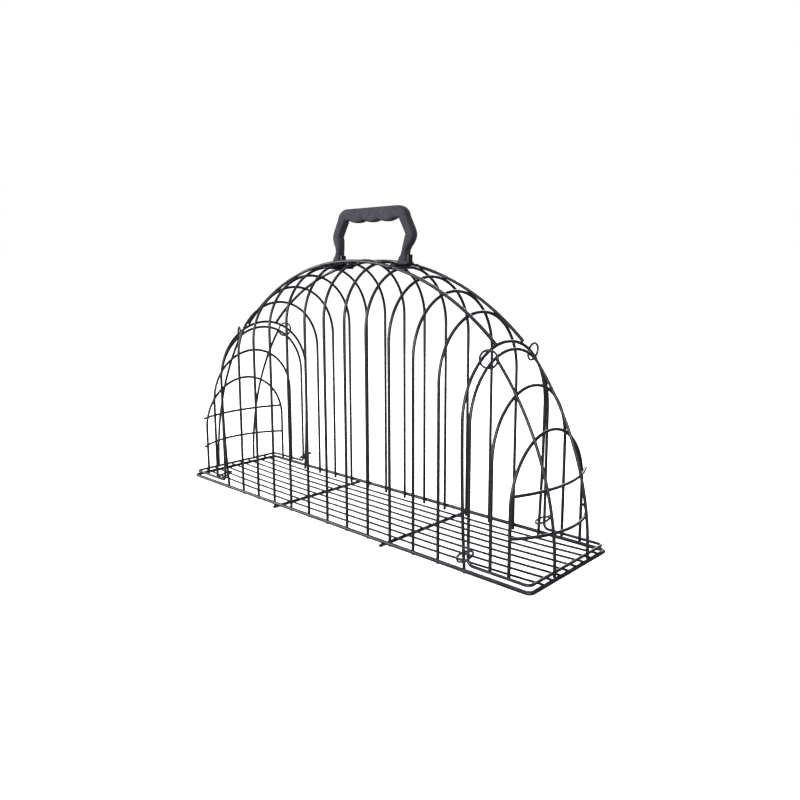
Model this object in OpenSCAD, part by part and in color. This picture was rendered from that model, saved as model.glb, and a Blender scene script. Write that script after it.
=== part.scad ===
// Domed wire carrying cage with a lift-up door at each end.
// Millimetres, +X along the cage, +Y across it, +Z up; the origin is under the middle, on the ground.
// Every wire is a true round rod, bent only along arcs.  Wires that cross are welded: they sink into
// each other by weld_sink.  The doors hang from wire rings and are held shut by rings on the hoop legs.

/* [Base] */
// Length of the base frame, between the centrelines of its end bars
base_l = 600; // [570:5:680]
// Width of the base frame, between the centrelines of its side rails
base_w = 150; // [140:1:170]
// Wire diameter of the base frame
base_wire_d = 4.5; // [4:0.25:6]
// Bend radius of the base frame's corners, at the centreline
base_corner_r = 6; // [4:0.5:14]
// Distance between the two cross wires that the cage stands on
cross_wire_gap = 200; // [160:5:260]
// Wire diameter of the cross wires
cross_wire_d = 4; // [3:0.25:5]
// Length of a cross wire past the centreline of each side rail
cross_wire_overhang = 4; // [3:0.5:8]
// Distance from each side rail in to the outermost floor wire
floor_side_gap = 20.75; // [14:0.25:28]
// Wire diameter of the floor wires
floor_wire_d = 2.5; // [1.9:0.1:3]
// Length of a floor wire past the centreline of each end bar
floor_wire_overhang = 1.5; // [0.5:0.25:2.5]

/* [Dome] */
// Height of the ridge rails' crown above the ground, at the centreline
ridge_crown_z = 326; // [300:2:350]
// Height of the ridge rails where they cross the end hoops, at the centreline
ridge_end_z = 240.65; // [225:0.05:262]
// Distance between the two ridge rails
ridge_gap = 50; // [40:1:60]
// Wire diameter of the ridge rails
ridge_wire_d = 4; // [3:0.25:5]
// Length of a ridge rail past each end hoop
ridge_overhang = 2.5; // [1.5:0.25:2.5]
// Distance from each end of the base frame in to its end hoop; the hoops between are evenly spaced
end_hoop_inset = 84; // [78:1:92]
// Wire diameter of the hoops
hoop_wire_d = 3.6; // [2.8:0.1:3.8]
// Distance by which each side of an end hoop's arch stands out past the base frame
end_hoop_flare = 2; // [1:0.25:3]
// Height of a hoop's foot above the ground
hoop_foot_z = 1.5; // [0.5:0.25:2.5]

/* [Door] */
// Distance from an end hoop to the hoop of its door
door_hoop_gap = 6.5; // [5.5:0.25:8]
// Distance from each side of an end hoop's arch in to the door frame's leg, between centrelines
door_side_gap = 4; // [3.5:0.25:5]
// Height by which the door hoop's crown stays under the end hoop's crown
door_crown_drop = 8; // [6:0.5:10]
// Wire diameter of the door frame and the ribs
door_wire_d = 3.5; // [3:0.1:3.8]
// Distance from the end of the base frame back to the door's end bar
door_end_gap = 2.5; // [1:0.25:4]
// Gap between the door's end bar and the floor wires under it
door_floor_gap = 0.3; // [0.2:0.1:1]
// Bend radius at the foot of the door legs, at the centreline
door_foot_r = 6; // [5:0.5:8]
// Bend radius of the door's two outer corners, at the centreline
door_corner_r = 6; // [4:0.5:12]
// Distance from the door's end bar back to the small arch
small_arch_in = 26.5; // [22:0.5:30]
// Distance between the two arches
arch_gap = 23; // [19:0.5:27]
// Wire diameter of the arches
arch_wire_d = 3.6; // [2.8:0.1:3.8]
// Distance between the two ribs
rib_gap = 66; // [58:1:67]
// Height up to which a rib stands straight
rib_straight_z = 14; // [12:1:30]
// Height of the upper cross bar
upper_bar_z = 97; // [84:1:104]
// Height of the lower cross bar
lower_bar_z = 54; // [38:0.5:60]
// Wire diameter of the cross bars
bar_wire_d = 3.4; // [2.6:0.1:3.6]
// Length of a cross bar past each leg of the small arch
bar_overhang = 2; // [1:0.5:5]

/* [Rings] */
// Wire diameter of the hinge rings and lock rings
ring_wire_d = 2.2; // [1.7:0.1:2.5]
// Distance between the two hinge rings of a door
hinge_ring_gap = 75; // [74:0.5:84]
// Inner diameter of a lock ring
lock_ring_id = 16; // [14.5:0.25:18]
// Height at which a lock ring holds the door shut
lock_ring_z = 22; // [21:0.5:30]
// Gap on each side of the door leg in the mouth of a lock ring
lock_mouth_gap = 0.4; // [0.3:0.05:0.6]

/* [Handle] */
// Gap between the left clip's hooks and the hoop on their inner side
left_clip_gap = 8.5; // [6:0.5:12]
// Gap between the right clip's hooks and the hoop on their outer side
right_clip_gap = 0.5; // [0.3:0.1:3]
// Height of the handle above the plates that it stands on
handle_h = 66.5; // [62:0.5:75]
// Depth of the handle, front to back
handle_depth = 12; // [9:0.5:14]
// Height of the grip bar
grip_h = 15; // [12:0.5:18]
// Distance from each knee in to the shoulder above it, at the end of the grip bar
shoulder_inset = 12; // [8:0.5:18]
// Distance by which each knee, the handle's widest place, stands out past the ankle under it
knee_flare = 4.75; // [2:0.25:7]
// Height of the knees above the plates
knee_h = 33.5; // [30:0.5:38]
// Distance between the finger swells under the grip
swell_pitch = 25.5; // [20:0.5:28]
// Depth of the finger swells under the grip
swell_depth = 3; // [1:0.25:4]
// Width of the clips' cross bars, along the cage
clip_w = 6; // [4:0.5:6.5]
// Wall of the clips' hooks round the ridge rails
clip_wall = 1.3; // [1.2:0.1:2]

/* [Hidden] */
// Depth by which welded wires sink into each other
weld_sink = 0.2;
// Running gap between a ring and the door wire in it
ring_running_gap = 0.35;
// Gap between a ring and the fixed wire that carries it
ring_seat_gap = 0.2;
// Gap between a clip's hook and the ridge rail in it
clip_gap = 0.15;

hoop_count = 11;
floor_wire_count = 8;
section_fn = 48;
arc_segment = 2.5;

wire_dark = "#3c3a46";
wire_mid = "#45434f";
moulding_grey = "#4b4852";
clip_black = "#232127";

// ---- Small functions ----

// A length rounded to a hundredth of a millimetre, so that bends and straights meet exactly
function fine(v) = round(v * 100) / 100;

// Height of a circle's top half above its centre, at a distance across from the centre
function rise(r, across) = sqrt(r * r - across * across);

// Radius of an arc that leaves a line square on and reaches a point this far along and this far aside
function side_bend_r(along, aside) = (along * along + aside * aside) / (2 * aside);

// Distance from a hoop's wire out to a wire that crosses over it, measured along the hoop's radius.
// reach is the distance between the two wires, slope the crossing wire's fall along the cage, and
// beta the angle round the hoop, from its crown.
function over_hoop(reach, slope, beta) =
    reach * sqrt(1 - pow(sin(slope) * sin(beta), 2)) / cos(slope);

// Height of a hoop's arch centre, where the wire over it passes at height z and distance across
function arch_centre(r, reach, slope, across, z) =
    z - rise(r + over_hoop(reach, slope, asin(across / (r + reach))), across);

// Distance between two wires that are welded where they cross
function welded(d1, d2) = (d1 + d2) / 2 - weld_sink;

// ---- Base ----

base_z = fine(cross_wire_d + base_wire_d / 2 - weld_sink);
base_x = base_l / 2;
base_y = base_w / 2;
cross_x = cross_wire_gap / 2;
floor_low_z = fine(cross_wire_d / 2 + welded(cross_wire_d, floor_wire_d));
floor_high_z = base_z + welded(base_wire_d, floor_wire_d);
floor_bend_r = fine(side_bend_r(base_x - cross_x, floor_high_z - floor_low_z));
floor_end_x = base_x + floor_wire_overhang;
floor_wire_pitch = (base_w - 2 * floor_side_gap) / (floor_wire_count - 1);

// ---- Dome ----

end_hoop_x = base_x - end_hoop_inset;
hoop_pitch = 2 * end_hoop_x / (hoop_count + 1);
function hoop_x(number) = (number - (hoop_count + 1) / 2) * hoop_pitch;

ridge_y = ridge_gap / 2;
ridge_r = fine(side_bend_r(end_hoop_x, ridge_crown_z - ridge_end_z));
ridge_centre_z = ridge_crown_z - ridge_r;
ridge_reach = welded(ridge_wire_d, hoop_wire_d);
function ridge_z(x) = ridge_centre_z + rise(ridge_r, x);
function ridge_slope(x) = asin(abs(x) / ridge_r);
function hoop_centre_z(r, x) = fine(arch_centre(r, ridge_reach, ridge_slope(x), ridge_y, ridge_z(x)));

hoop_y = fine(base_y - welded(base_wire_d, hoop_wire_d));
end_hoop_r = base_y + end_hoop_flare;
end_centre_z = hoop_centre_z(end_hoop_r, end_hoop_x);
end_leg_r = fine(side_bend_r(end_centre_z - base_z, end_hoop_r - hoop_y));

// Distance across from the cage's middle to an end hoop's leg, at a height
function end_leg_y(z) = end_hoop_r - end_leg_r + rise(end_leg_r, end_centre_z - z);

// ---- Door ----

door_x = end_hoop_x + door_hoop_gap;
door_r = end_hoop_r - door_side_gap;
door_centre_z = end_centre_z + end_hoop_r - door_crown_drop - door_r;
door_low_z = fine(floor_high_z + floor_wire_d / 2 + door_floor_gap + door_wire_d / 2);
door_end_x = base_x - door_end_gap;

rib_end_share = 0.21;
rib_foot_drop = 1;
arch_foot_drop = 1.5;

rib_y = rib_gap / 2;
rib_foot_x = fine(door_end_x + welded(door_wire_d, door_wire_d));
rib_top_x = door_x + door_wire_d;
rib_top_z = door_centre_z + rise(door_r, rib_y);
rib_bend_r = fine(side_bend_r(rib_top_z - rib_straight_z, rib_foot_x - rib_top_x));
rib_centre_x = rib_foot_x - rib_bend_r;
// The rib's square end stops where its lower edge meets the door hoop, a share of its wire past the top
rib_top_angle = asin((rib_top_z - rib_straight_z) / rib_bend_r);
rib_end_angle = rib_top_angle + (door_wire_d * rib_end_share) / rib_bend_r * 180 / PI;
rib_foot_z = door_low_z - door_wire_d / 2 - rib_foot_drop;
function rib_x(z) = rib_centre_x + rise(rib_bend_r, z - rib_straight_z);
function rib_z(x) = rib_straight_z + rise(rib_bend_r, x - rib_centre_x);
function rib_slope(x) = asin((x - rib_centre_x) / rib_bend_r);
function rib_lean(z) = asin((z - rib_straight_z) / rib_bend_r);

arch_r = fine(door_r - welded(door_wire_d, arch_wire_d));
arch_foot_z = door_low_z - arch_foot_drop;
arch_reach = welded(door_wire_d, arch_wire_d);
small_arch_x = door_end_x - small_arch_in;
large_arch_x = small_arch_x - arch_gap;
function arch_centre_z(x) = fine(arch_centre(arch_r, arch_reach, rib_slope(x), rib_y, rib_z(x)));

// Radius of a cross bar at height z: it passes outside the small arch's legs and inside the ribs.
// Its centre lies on the cage's middle line, so the two tangent conditions give a quadratic.
bar_out = welded(bar_wire_d, arch_wire_d);
function bar_in(z) = welded(bar_wire_d, door_wire_d) / cos(rib_lean(z));
function bar_step(z) = rib_x(z) - small_arch_x;
function bar_b(z) = (bar_in(z) + bar_out) / bar_step(z);
function bar_a(z) = (pow(bar_step(z), 2) + rib_y * rib_y - arch_r * arch_r
    - (bar_in(z) + bar_out) * (bar_in(z) - bar_out)) / (2 * bar_step(z));
function bar_p(z) = 1 - pow(bar_b(z), 2);
function bar_q(z) = bar_out - bar_a(z) * bar_b(z);
function bar_c(z) = pow(bar_a(z), 2) + arch_r * arch_r - bar_out * bar_out;
function bar_r(z) = (bar_q(z) + sqrt(pow(bar_q(z), 2) + bar_p(z) * bar_c(z))) / bar_p(z);
function bar_centre_x(z) = small_arch_x + bar_a(z) - bar_b(z) * bar_r(z);

// ---- Rings ----

// A hinge ring is as large as the two wires in it ask, and the door turns about its centre
hinge_y = hinge_ring_gap / 2;
hinge_fixed = [end_hoop_x, end_centre_z + rise(end_hoop_r, hinge_y)];
hinge_moving = [door_x, door_centre_z + rise(door_r, hinge_y)];
hinge_fixed_half = hoop_wire_d / 2 / cos(asin(hinge_y / end_hoop_r)) + ring_seat_gap;
hinge_moving_half = door_wire_d / 2 / cos(asin(hinge_y / door_r)) + ring_running_gap;
hinge_apart = norm(hinge_moving - hinge_fixed);
hinge_ring_inner_r = fine((hinge_apart + hinge_fixed_half + hinge_moving_half) / 2);
hinge_share = (hinge_ring_inner_r - hinge_fixed_half) / hinge_apart;
hinge_axis = hinge_fixed + hinge_share * (hinge_moving - hinge_fixed);
hinge_ring_r = hinge_ring_inner_r + ring_wire_d / 2;

// A lock ring slides straight up while the hoop leg in it leans out, so it is centred on the lean
lock_stop_drop = 7;
lock_top_z = end_centre_z - lock_stop_drop;
lock_lean = (end_leg_y(lock_top_z) - end_leg_y(lock_ring_z)) / 2;
lock_y = fine(end_leg_y(lock_ring_z) + lock_lean);
lock_x = fine(end_hoop_x + rise(lock_ring_id / 2 - hoop_wire_d / 2 - ring_seat_gap, lock_lean));
lock_ring_r = (lock_ring_id + ring_wire_d) / 2;
lock_mouth_w = door_wire_d + 2 * lock_mouth_gap;

// ---- Handle ----

left_clip_hoop = 5;
right_clip_hoop = 8;
hook_rim = 0.5;
hook_lip = 0.6;
foot_shift = -5.5;
ankle_shift = -2.8;
foot_half_w = 6.8;
plate_t = 2;
plate_half_y = 6;
plate_rim = 0.8;
tab_t = 2.5;
tab_gap = 0.4;
tab_h = 9;
tab_half_y = 3.6;
hook_l = clip_w + 2 * hook_rim;
clip_xs = [
    hoop_x(left_clip_hoop) - hoop_wire_d / 2 - left_clip_gap - hook_l / 2,
    hoop_x(right_clip_hoop) - hoop_wire_d / 2 - right_clip_gap - hook_l / 2
];
ankle_span = clip_xs[1] - clip_xs[0];
knee_span = ankle_span + 2 * knee_flare;
grip_l = knee_span - 2 * shoulder_inset;
handle_x = (clip_xs[0] + clip_xs[1]) / 2 - foot_shift;
plate_z = fine(ridge_z(clip_xs[0]));
handle_z = plate_z + plate_t;
hook_bore_r = ridge_wire_d / 2 + clip_gap;
hook_r = hook_bore_r + clip_wall;

// Centreline of the handle with its half thickness: [x, z, outer half, inner half], foot to crown.
// side is 1 for the right half and -1 for the left.
grip_z = handle_h - grip_h / 2;
shoulder_drop = 2.6;
shoulder_round = 7;
grip_even_in = 20;
function handle_half(side) = [
    [side * ankle_span / 2 + foot_shift, 0, foot_half_w, foot_half_w],
    [side * ankle_span / 2 + foot_shift, knee_h * 0.09, foot_half_w - 0.2, foot_half_w - 0.2],
    [side * ankle_span / 2 + (foot_shift + ankle_shift) / 2, knee_h * 0.24, 4.4, 4.4],
    [side * ankle_span / 2 + ankle_shift, knee_h * 0.42, 3.3, 3.3],
    [side * (ankle_span / 2 + 1.2) + ankle_shift * 0.6, knee_h * 0.6, 4.6, 4.1],
    [side * (knee_span / 2 - 1) + ankle_shift * 0.15, knee_h * 0.82, 6.2, 5.6],
    [side * knee_span / 2, knee_h, 6.2, 5.3],
    [side * (knee_span / 2 * 0.6 + grip_l / 2 * 0.4), knee_h + (grip_z - knee_h) * 0.38, 6.3, 5.5],
    [side * (knee_span / 2 * 0.25 + grip_l / 2 * 0.75), knee_h + (grip_z - knee_h) * 0.68, 6.4, 5.7],
    [side * grip_l / 2, grip_z - shoulder_drop, 6.8, 6],
    [side * (grip_l / 2 - shoulder_round), grip_z, grip_h / 2, grip_h / 2],
    [side * (grip_l / 2 - grip_even_in), grip_z, grip_h / 2, grip_h / 2]
];
handle_last = len(handle_half(1)) - 1;
handle_line = concat(
    handle_half(-1),
    [[0, grip_z, grip_h / 2, grip_h / 2]],
    [for (i = [handle_last : -1 : 0]) handle_half(1)[i]]
);
handle_step = 3;

// A point on the smooth curve through the points p, between p[i] and p[i + 1]
function curve_point(p, i, t) =
    let (
        a = p[max(i - 1, 0)],
        b = p[i],
        c = p[i + 1],
        d = p[min(i + 2, len(p) - 1)]
    )
    (2 * b + (c - a) * t + (2 * a - 5 * b + 4 * c - d) * t * t + (3 * b - a - 3 * c + d) * t * t * t) / 2;

handle_curve = concat(
    [for (i = [0 : len(handle_line) - 2], k = [0 : steps_at(i) - 1])
        curve_point(handle_line, i, k / steps_at(i))],
    [handle_line[len(handle_line) - 1]]
);
function steps_at(i) =
    ceil(norm([for (k = [0, 1]) handle_line[i + 1][k] - handle_line[i][k]]) / handle_step);

// Depth of the finger swells at a distance x from the handle's middle
swell_r = side_bend_r(swell_pitch / 2, swell_depth);
swell_floor = 4;
function swell(x, z) =
    abs(x) > 1.5 * swell_pitch || z < grip_z - swell_floor ? 0
        : rise(swell_r, x - swell_pitch * round(x / swell_pitch)) - (swell_r - swell_depth);

// ---- Wires ----

// A straight round wire along +Z from the local origin
module straight(l, d) {
    cylinder(h = l, d = d, $fn = section_fn);
}

// A straight wire along X, centred on x = 0
module straight_x(l, d) {
    translate([-l / 2, 0, 0]) rotate([0, 90, 0]) straight(l, d);
}

// A straight wire along Y, centred on y = 0
module straight_y(l, d) {
    translate([0, l / 2, 0]) rotate([90, 0, 0]) straight(l, d);
}

// A wire bent about the local Z axis, from the X axis through the angle sweep
module bend(r, d, sweep) {
    rotate_extrude(angle = sweep, $fn = ceil(360 / sweep) * max(ceil(sweep / arc_segment), 16))
        translate([r, 0]) circle(d = d, $fn = section_fn);
}

// A bend in the XZ plane, rising from the X axis
module bend_xz(r, d, sweep) {
    rotate([90, 0, 0]) bend(r, d, sweep);
}

// A half circle standing in the YZ plane, from +Y over the crown to -Y
module arch(r, d) {
    rotate([90, 0, 90]) bend(r, d, 180);
}

// A hoop with straight legs, in the plane x: half width r, arch centre at z, feet at foot_z
module straight_hoop(x, r, z, foot_z, d) {
    translate([x, 0, z]) arch(r, d);
    for (side = [-1, 1])
        translate([x, side * r, foot_z]) straight(z - foot_z, d);
}

// The left-hand copy of what the right-hand end holds
module at_end(side) {
    mirror([side < 0 ? 1 : 0, 0, 0]) children();
}

// ---- Sub-parts: base ----

module base_frame() {
    color(wire_dark) translate([0, 0, base_z]) {
        for (side = [-1, 1]) {
            translate([0, side * base_y, 0]) straight_x(base_l - 2 * base_corner_r, base_wire_d);
            translate([side * base_x, 0, 0]) straight_y(base_w - 2 * base_corner_r, base_wire_d);
        }
        for (turn = [0 : 3])
            translate([(turn == 0 || turn == 3 ? 1 : -1) * (base_x - base_corner_r),
                (turn < 2 ? 1 : -1) * (base_y - base_corner_r), 0])
                rotate([0, 0, 90 * turn]) bend(base_corner_r, base_wire_d, 90);
    }
}

module cross_wire(side) {
    color(wire_dark) translate([side * cross_x, 0, cross_wire_d / 2])
        straight_y(base_w + 2 * cross_wire_overhang, cross_wire_d);
}

// A floor wire lies flat between the cross wires and rises over both end bars
module floor_wire(number) {
    sweep = asin((floor_end_x - cross_x) / floor_bend_r);
    color(wire_mid) translate([0, (number - (floor_wire_count + 1) / 2) * floor_wire_pitch, floor_low_z]) {
        straight_x(cross_wire_gap, floor_wire_d);
        for (side = [-1, 1])
            at_end(side) translate([cross_x, 0, floor_bend_r])
                rotate([0, -270, 0]) bend_xz(floor_bend_r, floor_wire_d, sweep);
    }
}

// ---- Sub-parts: dome ----

module body_hoop(number) {
    x = hoop_x(number);
    color(wire_dark) straight_hoop(x, hoop_y, hoop_centre_z(hoop_y, x), hoop_foot_z, hoop_wire_d);
}

// An end hoop's arch is wider than the base, so its legs bend in towards their feet
module end_hoop(side) {
    sweep = asin((end_centre_z - hoop_foot_z) / end_leg_r);
    color(wire_dark) translate([side * end_hoop_x, 0, end_centre_z]) {
        arch(end_hoop_r, hoop_wire_d);
        for (leg = [0, 1])
            mirror([0, leg, 0]) mirror([0, 0, 1]) translate([0, end_hoop_r - end_leg_r, 0])
                rotate([90, 0, 90]) bend(end_leg_r, hoop_wire_d, sweep);
    }
}

module ridge_wire(side, d) {
    half = asin((end_hoop_x + ridge_overhang) / ridge_r);
    translate([0, side * ridge_y, ridge_centre_z])
        rotate([0, half - 90, 0]) bend_xz(ridge_r, d, 2 * half);
}

module ridge_rail(side) {
    color(wire_dark) ridge_wire(side, ridge_wire_d);
}

// ---- Sub-parts: handle ----

// One cross-section of the handle: a rounded rectangle square to the curve at step i
section_corner_r = 2.2;
corner_steps = 3;
function handle_section(i) =
    let (
        p = handle_curve[i],
        ahead = handle_curve[min(i + 1, len(handle_curve) - 1)],
        behind = handle_curve[max(i - 1, 0)],
        along = i == 0 || i == len(handle_curve) - 1 ? [0, ahead[1] - behind[1]]
            : [ahead[0] - behind[0], ahead[1] - behind[1]],
        outward = [-along[1], along[0]] / norm(along),
        out_half = p[2],
        in_half = p[3] + swell(p[0], p[1]),
        r = min(section_corner_r, in_half * 0.6)
    )
    [for (corner = [0 : 3], k = [0 : corner_steps])
        let (
            a = 90 * corner + 90 * k / corner_steps,
            far = corner == 0 || corner == 3 ? out_half - r : r - in_half,
            across = corner < 2 ? handle_depth / 2 - r : r - handle_depth / 2,
            u = far + r * cos(a),
            v = across + r * sin(a)
        )
        [p[0] + outward[0] * u, v, p[1] + outward[1] * u]];

module handle() {
    ring = 4 * (corner_steps + 1);
    count = len(handle_curve);
    points = [for (i = [0 : count - 1], q = handle_section(i)) q];
    sides = [for (i = [0 : count - 2], k = [0 : ring - 1])
        [i * ring + k, i * ring + (k + 1) % ring, (i + 1) * ring + (k + 1) % ring, (i + 1) * ring + k]];
    near_cap = [for (k = [ring - 1 : -1 : 0]) k];
    far_cap = [for (k = [0 : ring - 1]) (count - 1) * ring + k];
    color(moulding_grey) translate([handle_x, 0, handle_z])
        polyhedron(points = points, faces = concat([near_cap, far_cap], sides), convexity = 8);
}

// A clip spans the ridge rails, hooks under both and carries one foot of the handle on its plate.
// The hooks are open on top, so the rails lie in them and the cage hangs in the clips when it is lifted.
module handle_clip(place) {
    x = clip_xs[place];
    hook_z = ridge_z(x);
    color(clip_black) difference() {
        union() {
            translate([x - clip_w / 2, -ridge_y + hook_r / 2, plate_z - clip_w])
                cube([clip_w, ridge_gap - hook_r, clip_w]);
            translate([x - foot_half_w - plate_rim, -plate_half_y, plate_z])
                cube([2 * foot_half_w + plate_rim + tab_gap + tab_t, 2 * plate_half_y, plate_t]);
            translate([x + foot_half_w + tab_gap, -tab_half_y, plate_z + plate_t])
                cube([tab_t, 2 * tab_half_y, tab_h]);
            for (side = [-1, 1])
                translate([x, side * ridge_y, hook_z]) straight_x(hook_l, 2 * hook_r);
        }
        for (side = [-1, 1]) {
            ridge_wire(side, 2 * hook_bore_r);
            translate([x - hook_l, side * ridge_y - hook_r, hook_z + hook_lip])
                cube([2 * hook_l, 2 * hook_r, 2 * hook_r]);
        }
    }
}

// ---- Sub-parts: rings ----

module hinge_ring(end, side) {
    color(wire_mid) at_end(end) translate([hinge_axis[0], side * hinge_y, hinge_axis[1]])
        bend_xz(hinge_ring_r, ring_wire_d, 360);
}

// A lock ring is open on its outer side, so that the door's leg can leave it
module lock_ring(end, side) {
    color(wire_mid) at_end(end) mirror([0, side < 0 ? 1 : 0, 0]) translate([lock_x, 0, lock_ring_z])
        difference() {
            translate([0, lock_y, 0]) bend(lock_ring_r, ring_wire_d, 360);
            translate([0, door_r - lock_mouth_w / 2, -ring_wire_d])
                cube([2 * lock_ring_r, lock_mouth_w, 2 * ring_wire_d]);
        }
}

// ---- Sub-parts: door ----

// The door frame is one closed wire: a hoop whose legs turn outward at their feet into a flat U
module door_frame(end) {
    leg_foot_z = door_low_z + door_foot_r;
    side_l = door_end_x - door_corner_r - door_x - door_foot_r;
    color(wire_dark) at_end(end) {
        straight_hoop(door_x, door_r, door_centre_z, leg_foot_z, door_wire_d);
        for (side = [0, 1]) mirror([0, side, 0]) {
            translate([door_x + door_foot_r, door_r, leg_foot_z])
                rotate([0, 180, 0]) bend_xz(door_foot_r, door_wire_d, 90);
            translate([door_x + door_foot_r + side_l / 2, door_r, door_low_z])
                straight_x(side_l, door_wire_d);
            translate([door_end_x - door_corner_r, door_r - door_corner_r, door_low_z])
                bend(door_corner_r, door_wire_d, 90);
        }
        translate([door_end_x, 0, door_low_z])
            straight_y(2 * (door_r - door_corner_r), door_wire_d);
    }
}

module door_arch(end, x) {
    color(wire_dark) at_end(end)
        straight_hoop(x, arch_r, arch_centre_z(x), arch_foot_z, arch_wire_d);
}

// A rib stands on the end bar and bends over both arches to the door hoop
module door_rib(end, side) {
    color(wire_dark) at_end(end) translate([0, side * rib_y, 0]) {
        translate([rib_foot_x, 0, rib_foot_z]) straight(rib_straight_z - rib_foot_z, door_wire_d);
        translate([rib_centre_x, 0, rib_straight_z]) bend_xz(rib_bend_r, door_wire_d, rib_end_angle);
    }
}

module door_bar(end, z) {
    half = asin((arch_r + bar_overhang) / bar_r(z));
    color(wire_mid) at_end(end) translate([bar_centre_x(z), 0, z])
        rotate([0, 0, -half]) bend(bar_r(z), bar_wire_d, 2 * half);
}

// ---- Nodes ----

base_frame();
cross_wire(-1);  // cross_wire_left
cross_wire(1);  // cross_wire_right
floor_wire(1);  // floor_wire_1
floor_wire(2);  // floor_wire_2
floor_wire(3);  // floor_wire_3
floor_wire(4);  // floor_wire_4
floor_wire(5);  // floor_wire_5
floor_wire(6);  // floor_wire_6
floor_wire(7);  // floor_wire_7
floor_wire(8);  // floor_wire_8
body_hoop(1);  // body_hoop_01
body_hoop(2);  // body_hoop_02
body_hoop(3);  // body_hoop_03
body_hoop(4);  // body_hoop_04
body_hoop(5);  // body_hoop_05
body_hoop(6);  // body_hoop_06
body_hoop(7);  // body_hoop_07
body_hoop(8);  // body_hoop_08
body_hoop(9);  // body_hoop_09
body_hoop(10);  // body_hoop_10
body_hoop(11);  // body_hoop_11
end_hoop(-1);  // end_hoop_left
end_hoop(1);  // end_hoop_right
ridge_rail(-1);  // ridge_rail_front
ridge_rail(1);  // ridge_rail_back
handle();
handle_clip(0);  // handle_clip_left
handle_clip(1);  // handle_clip_right
hinge_ring(-1, -1);  // hinge_ring_left_front
hinge_ring(-1, 1);  // hinge_ring_left_back
hinge_ring(1, -1);  // hinge_ring_right_front
hinge_ring(1, 1);  // hinge_ring_right_back
lock_ring(-1, -1);  // lock_ring_left_front
lock_ring(-1, 1);  // lock_ring_left_back
lock_ring(1, -1);  // lock_ring_right_front
lock_ring(1, 1);  // lock_ring_right_back
door_frame(-1);  // left_door_frame
door_arch(-1, large_arch_x);  // left_large_arch
door_arch(-1, small_arch_x);  // left_small_arch
door_rib(-1, -1);  // left_front_rib
door_rib(-1, 1);  // left_back_rib
door_bar(-1, upper_bar_z);  // left_upper_bar
door_bar(-1, lower_bar_z);  // left_lower_bar
door_frame(1);  // right_door_frame
door_arch(1, large_arch_x);  // right_large_arch
door_arch(1, small_arch_x);  // right_small_arch
door_rib(1, -1);  // right_front_rib
door_rib(1, 1);  // right_back_rib
door_bar(1, upper_bar_z);  // right_upper_bar
door_bar(1, lower_bar_z);  // right_lower_bar
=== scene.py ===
"""Looks of a domed wire carrying cage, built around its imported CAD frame.

The CAD wires stay where they are and get a coated steel finish.  This script adds what welding,
coating and moulding leave on such a cage:

* a fillet of weld metal and coating wherever two wires of one body cross,
* a bead of coating on each cut wire end,
* the hinge and lock rings as bent wire with butted or lapped ends,
* the moulded handle and its clips, with crowned faces, a parting line and rounded edges,
* a pale floor, soft light and the camera.

Sizes are written in millimetres, in the CAD frame: +X along the cage, +Z up, ground at zero.
"""
import sys

import logging
import math
import random
from dataclasses import dataclass
from enum import Enum
from typing import Iterable, Sequence

import bmesh
import bpy
import numpy as np
from mathutils import Matrix, Vector


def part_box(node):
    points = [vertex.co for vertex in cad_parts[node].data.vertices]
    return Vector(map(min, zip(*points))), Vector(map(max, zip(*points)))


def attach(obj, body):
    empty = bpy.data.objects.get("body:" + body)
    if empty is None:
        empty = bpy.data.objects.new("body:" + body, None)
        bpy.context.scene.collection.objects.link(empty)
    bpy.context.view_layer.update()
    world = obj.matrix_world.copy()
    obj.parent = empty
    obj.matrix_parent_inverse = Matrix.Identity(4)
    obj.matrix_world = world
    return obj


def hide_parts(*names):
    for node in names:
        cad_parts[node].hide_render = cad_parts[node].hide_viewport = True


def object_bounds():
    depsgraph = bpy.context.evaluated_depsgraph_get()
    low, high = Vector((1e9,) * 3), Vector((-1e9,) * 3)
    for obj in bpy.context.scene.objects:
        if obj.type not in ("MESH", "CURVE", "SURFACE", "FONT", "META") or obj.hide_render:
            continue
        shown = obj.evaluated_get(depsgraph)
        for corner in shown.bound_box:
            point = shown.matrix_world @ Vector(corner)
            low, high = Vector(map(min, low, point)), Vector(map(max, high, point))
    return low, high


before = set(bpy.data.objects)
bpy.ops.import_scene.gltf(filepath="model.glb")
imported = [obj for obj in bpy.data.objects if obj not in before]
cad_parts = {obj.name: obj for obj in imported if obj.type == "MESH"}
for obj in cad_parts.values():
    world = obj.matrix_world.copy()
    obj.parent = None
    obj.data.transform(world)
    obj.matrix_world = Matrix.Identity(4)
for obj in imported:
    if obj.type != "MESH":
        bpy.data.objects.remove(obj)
CAD_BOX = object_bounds()

MM = 0.001
LOG = logging.getLogger("cage")

Tree = bpy.types.NodeTree
Node = bpy.types.Node
Socket = bpy.types.NodeSocket
# The points of a closed lump in millimetres, and the corner indices of its faces
Lump = tuple[list[np.ndarray], list[list[int]]]


class Slot(Enum):
    """Names for the object's material slots."""

    WIRE = "coated_wire"
    HANDLE = "handle_plastic"
    CLIP = "clip_plastic"


class Body(Enum):
    """The CAD bodies that pieces ride on."""

    CAGE = "cage"
    LEFT_DOOR = "left_door"
    RIGHT_DOOR = "right_door"


class End(Enum):
    """The two ends of the cage; the value is the sign of x there."""

    LEFT = -1
    RIGHT = 1

    @property
    def word(self) -> str:
        """The end's name in lower case, as the node names have it."""
        return self.name.lower()

    @property
    def door(self) -> Body:
        """The body of the door at this end."""
        return Body.LEFT_DOOR if self is End.LEFT else Body.RIGHT_DOOR


class Side(Enum):
    """The two long sides of the cage; the value is the sign of y there."""

    FRONT = -1
    BACK = 1

    @property
    def word(self) -> str:
        """The side's name in lower case, as the node names have it."""
        return self.name.lower()


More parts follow.
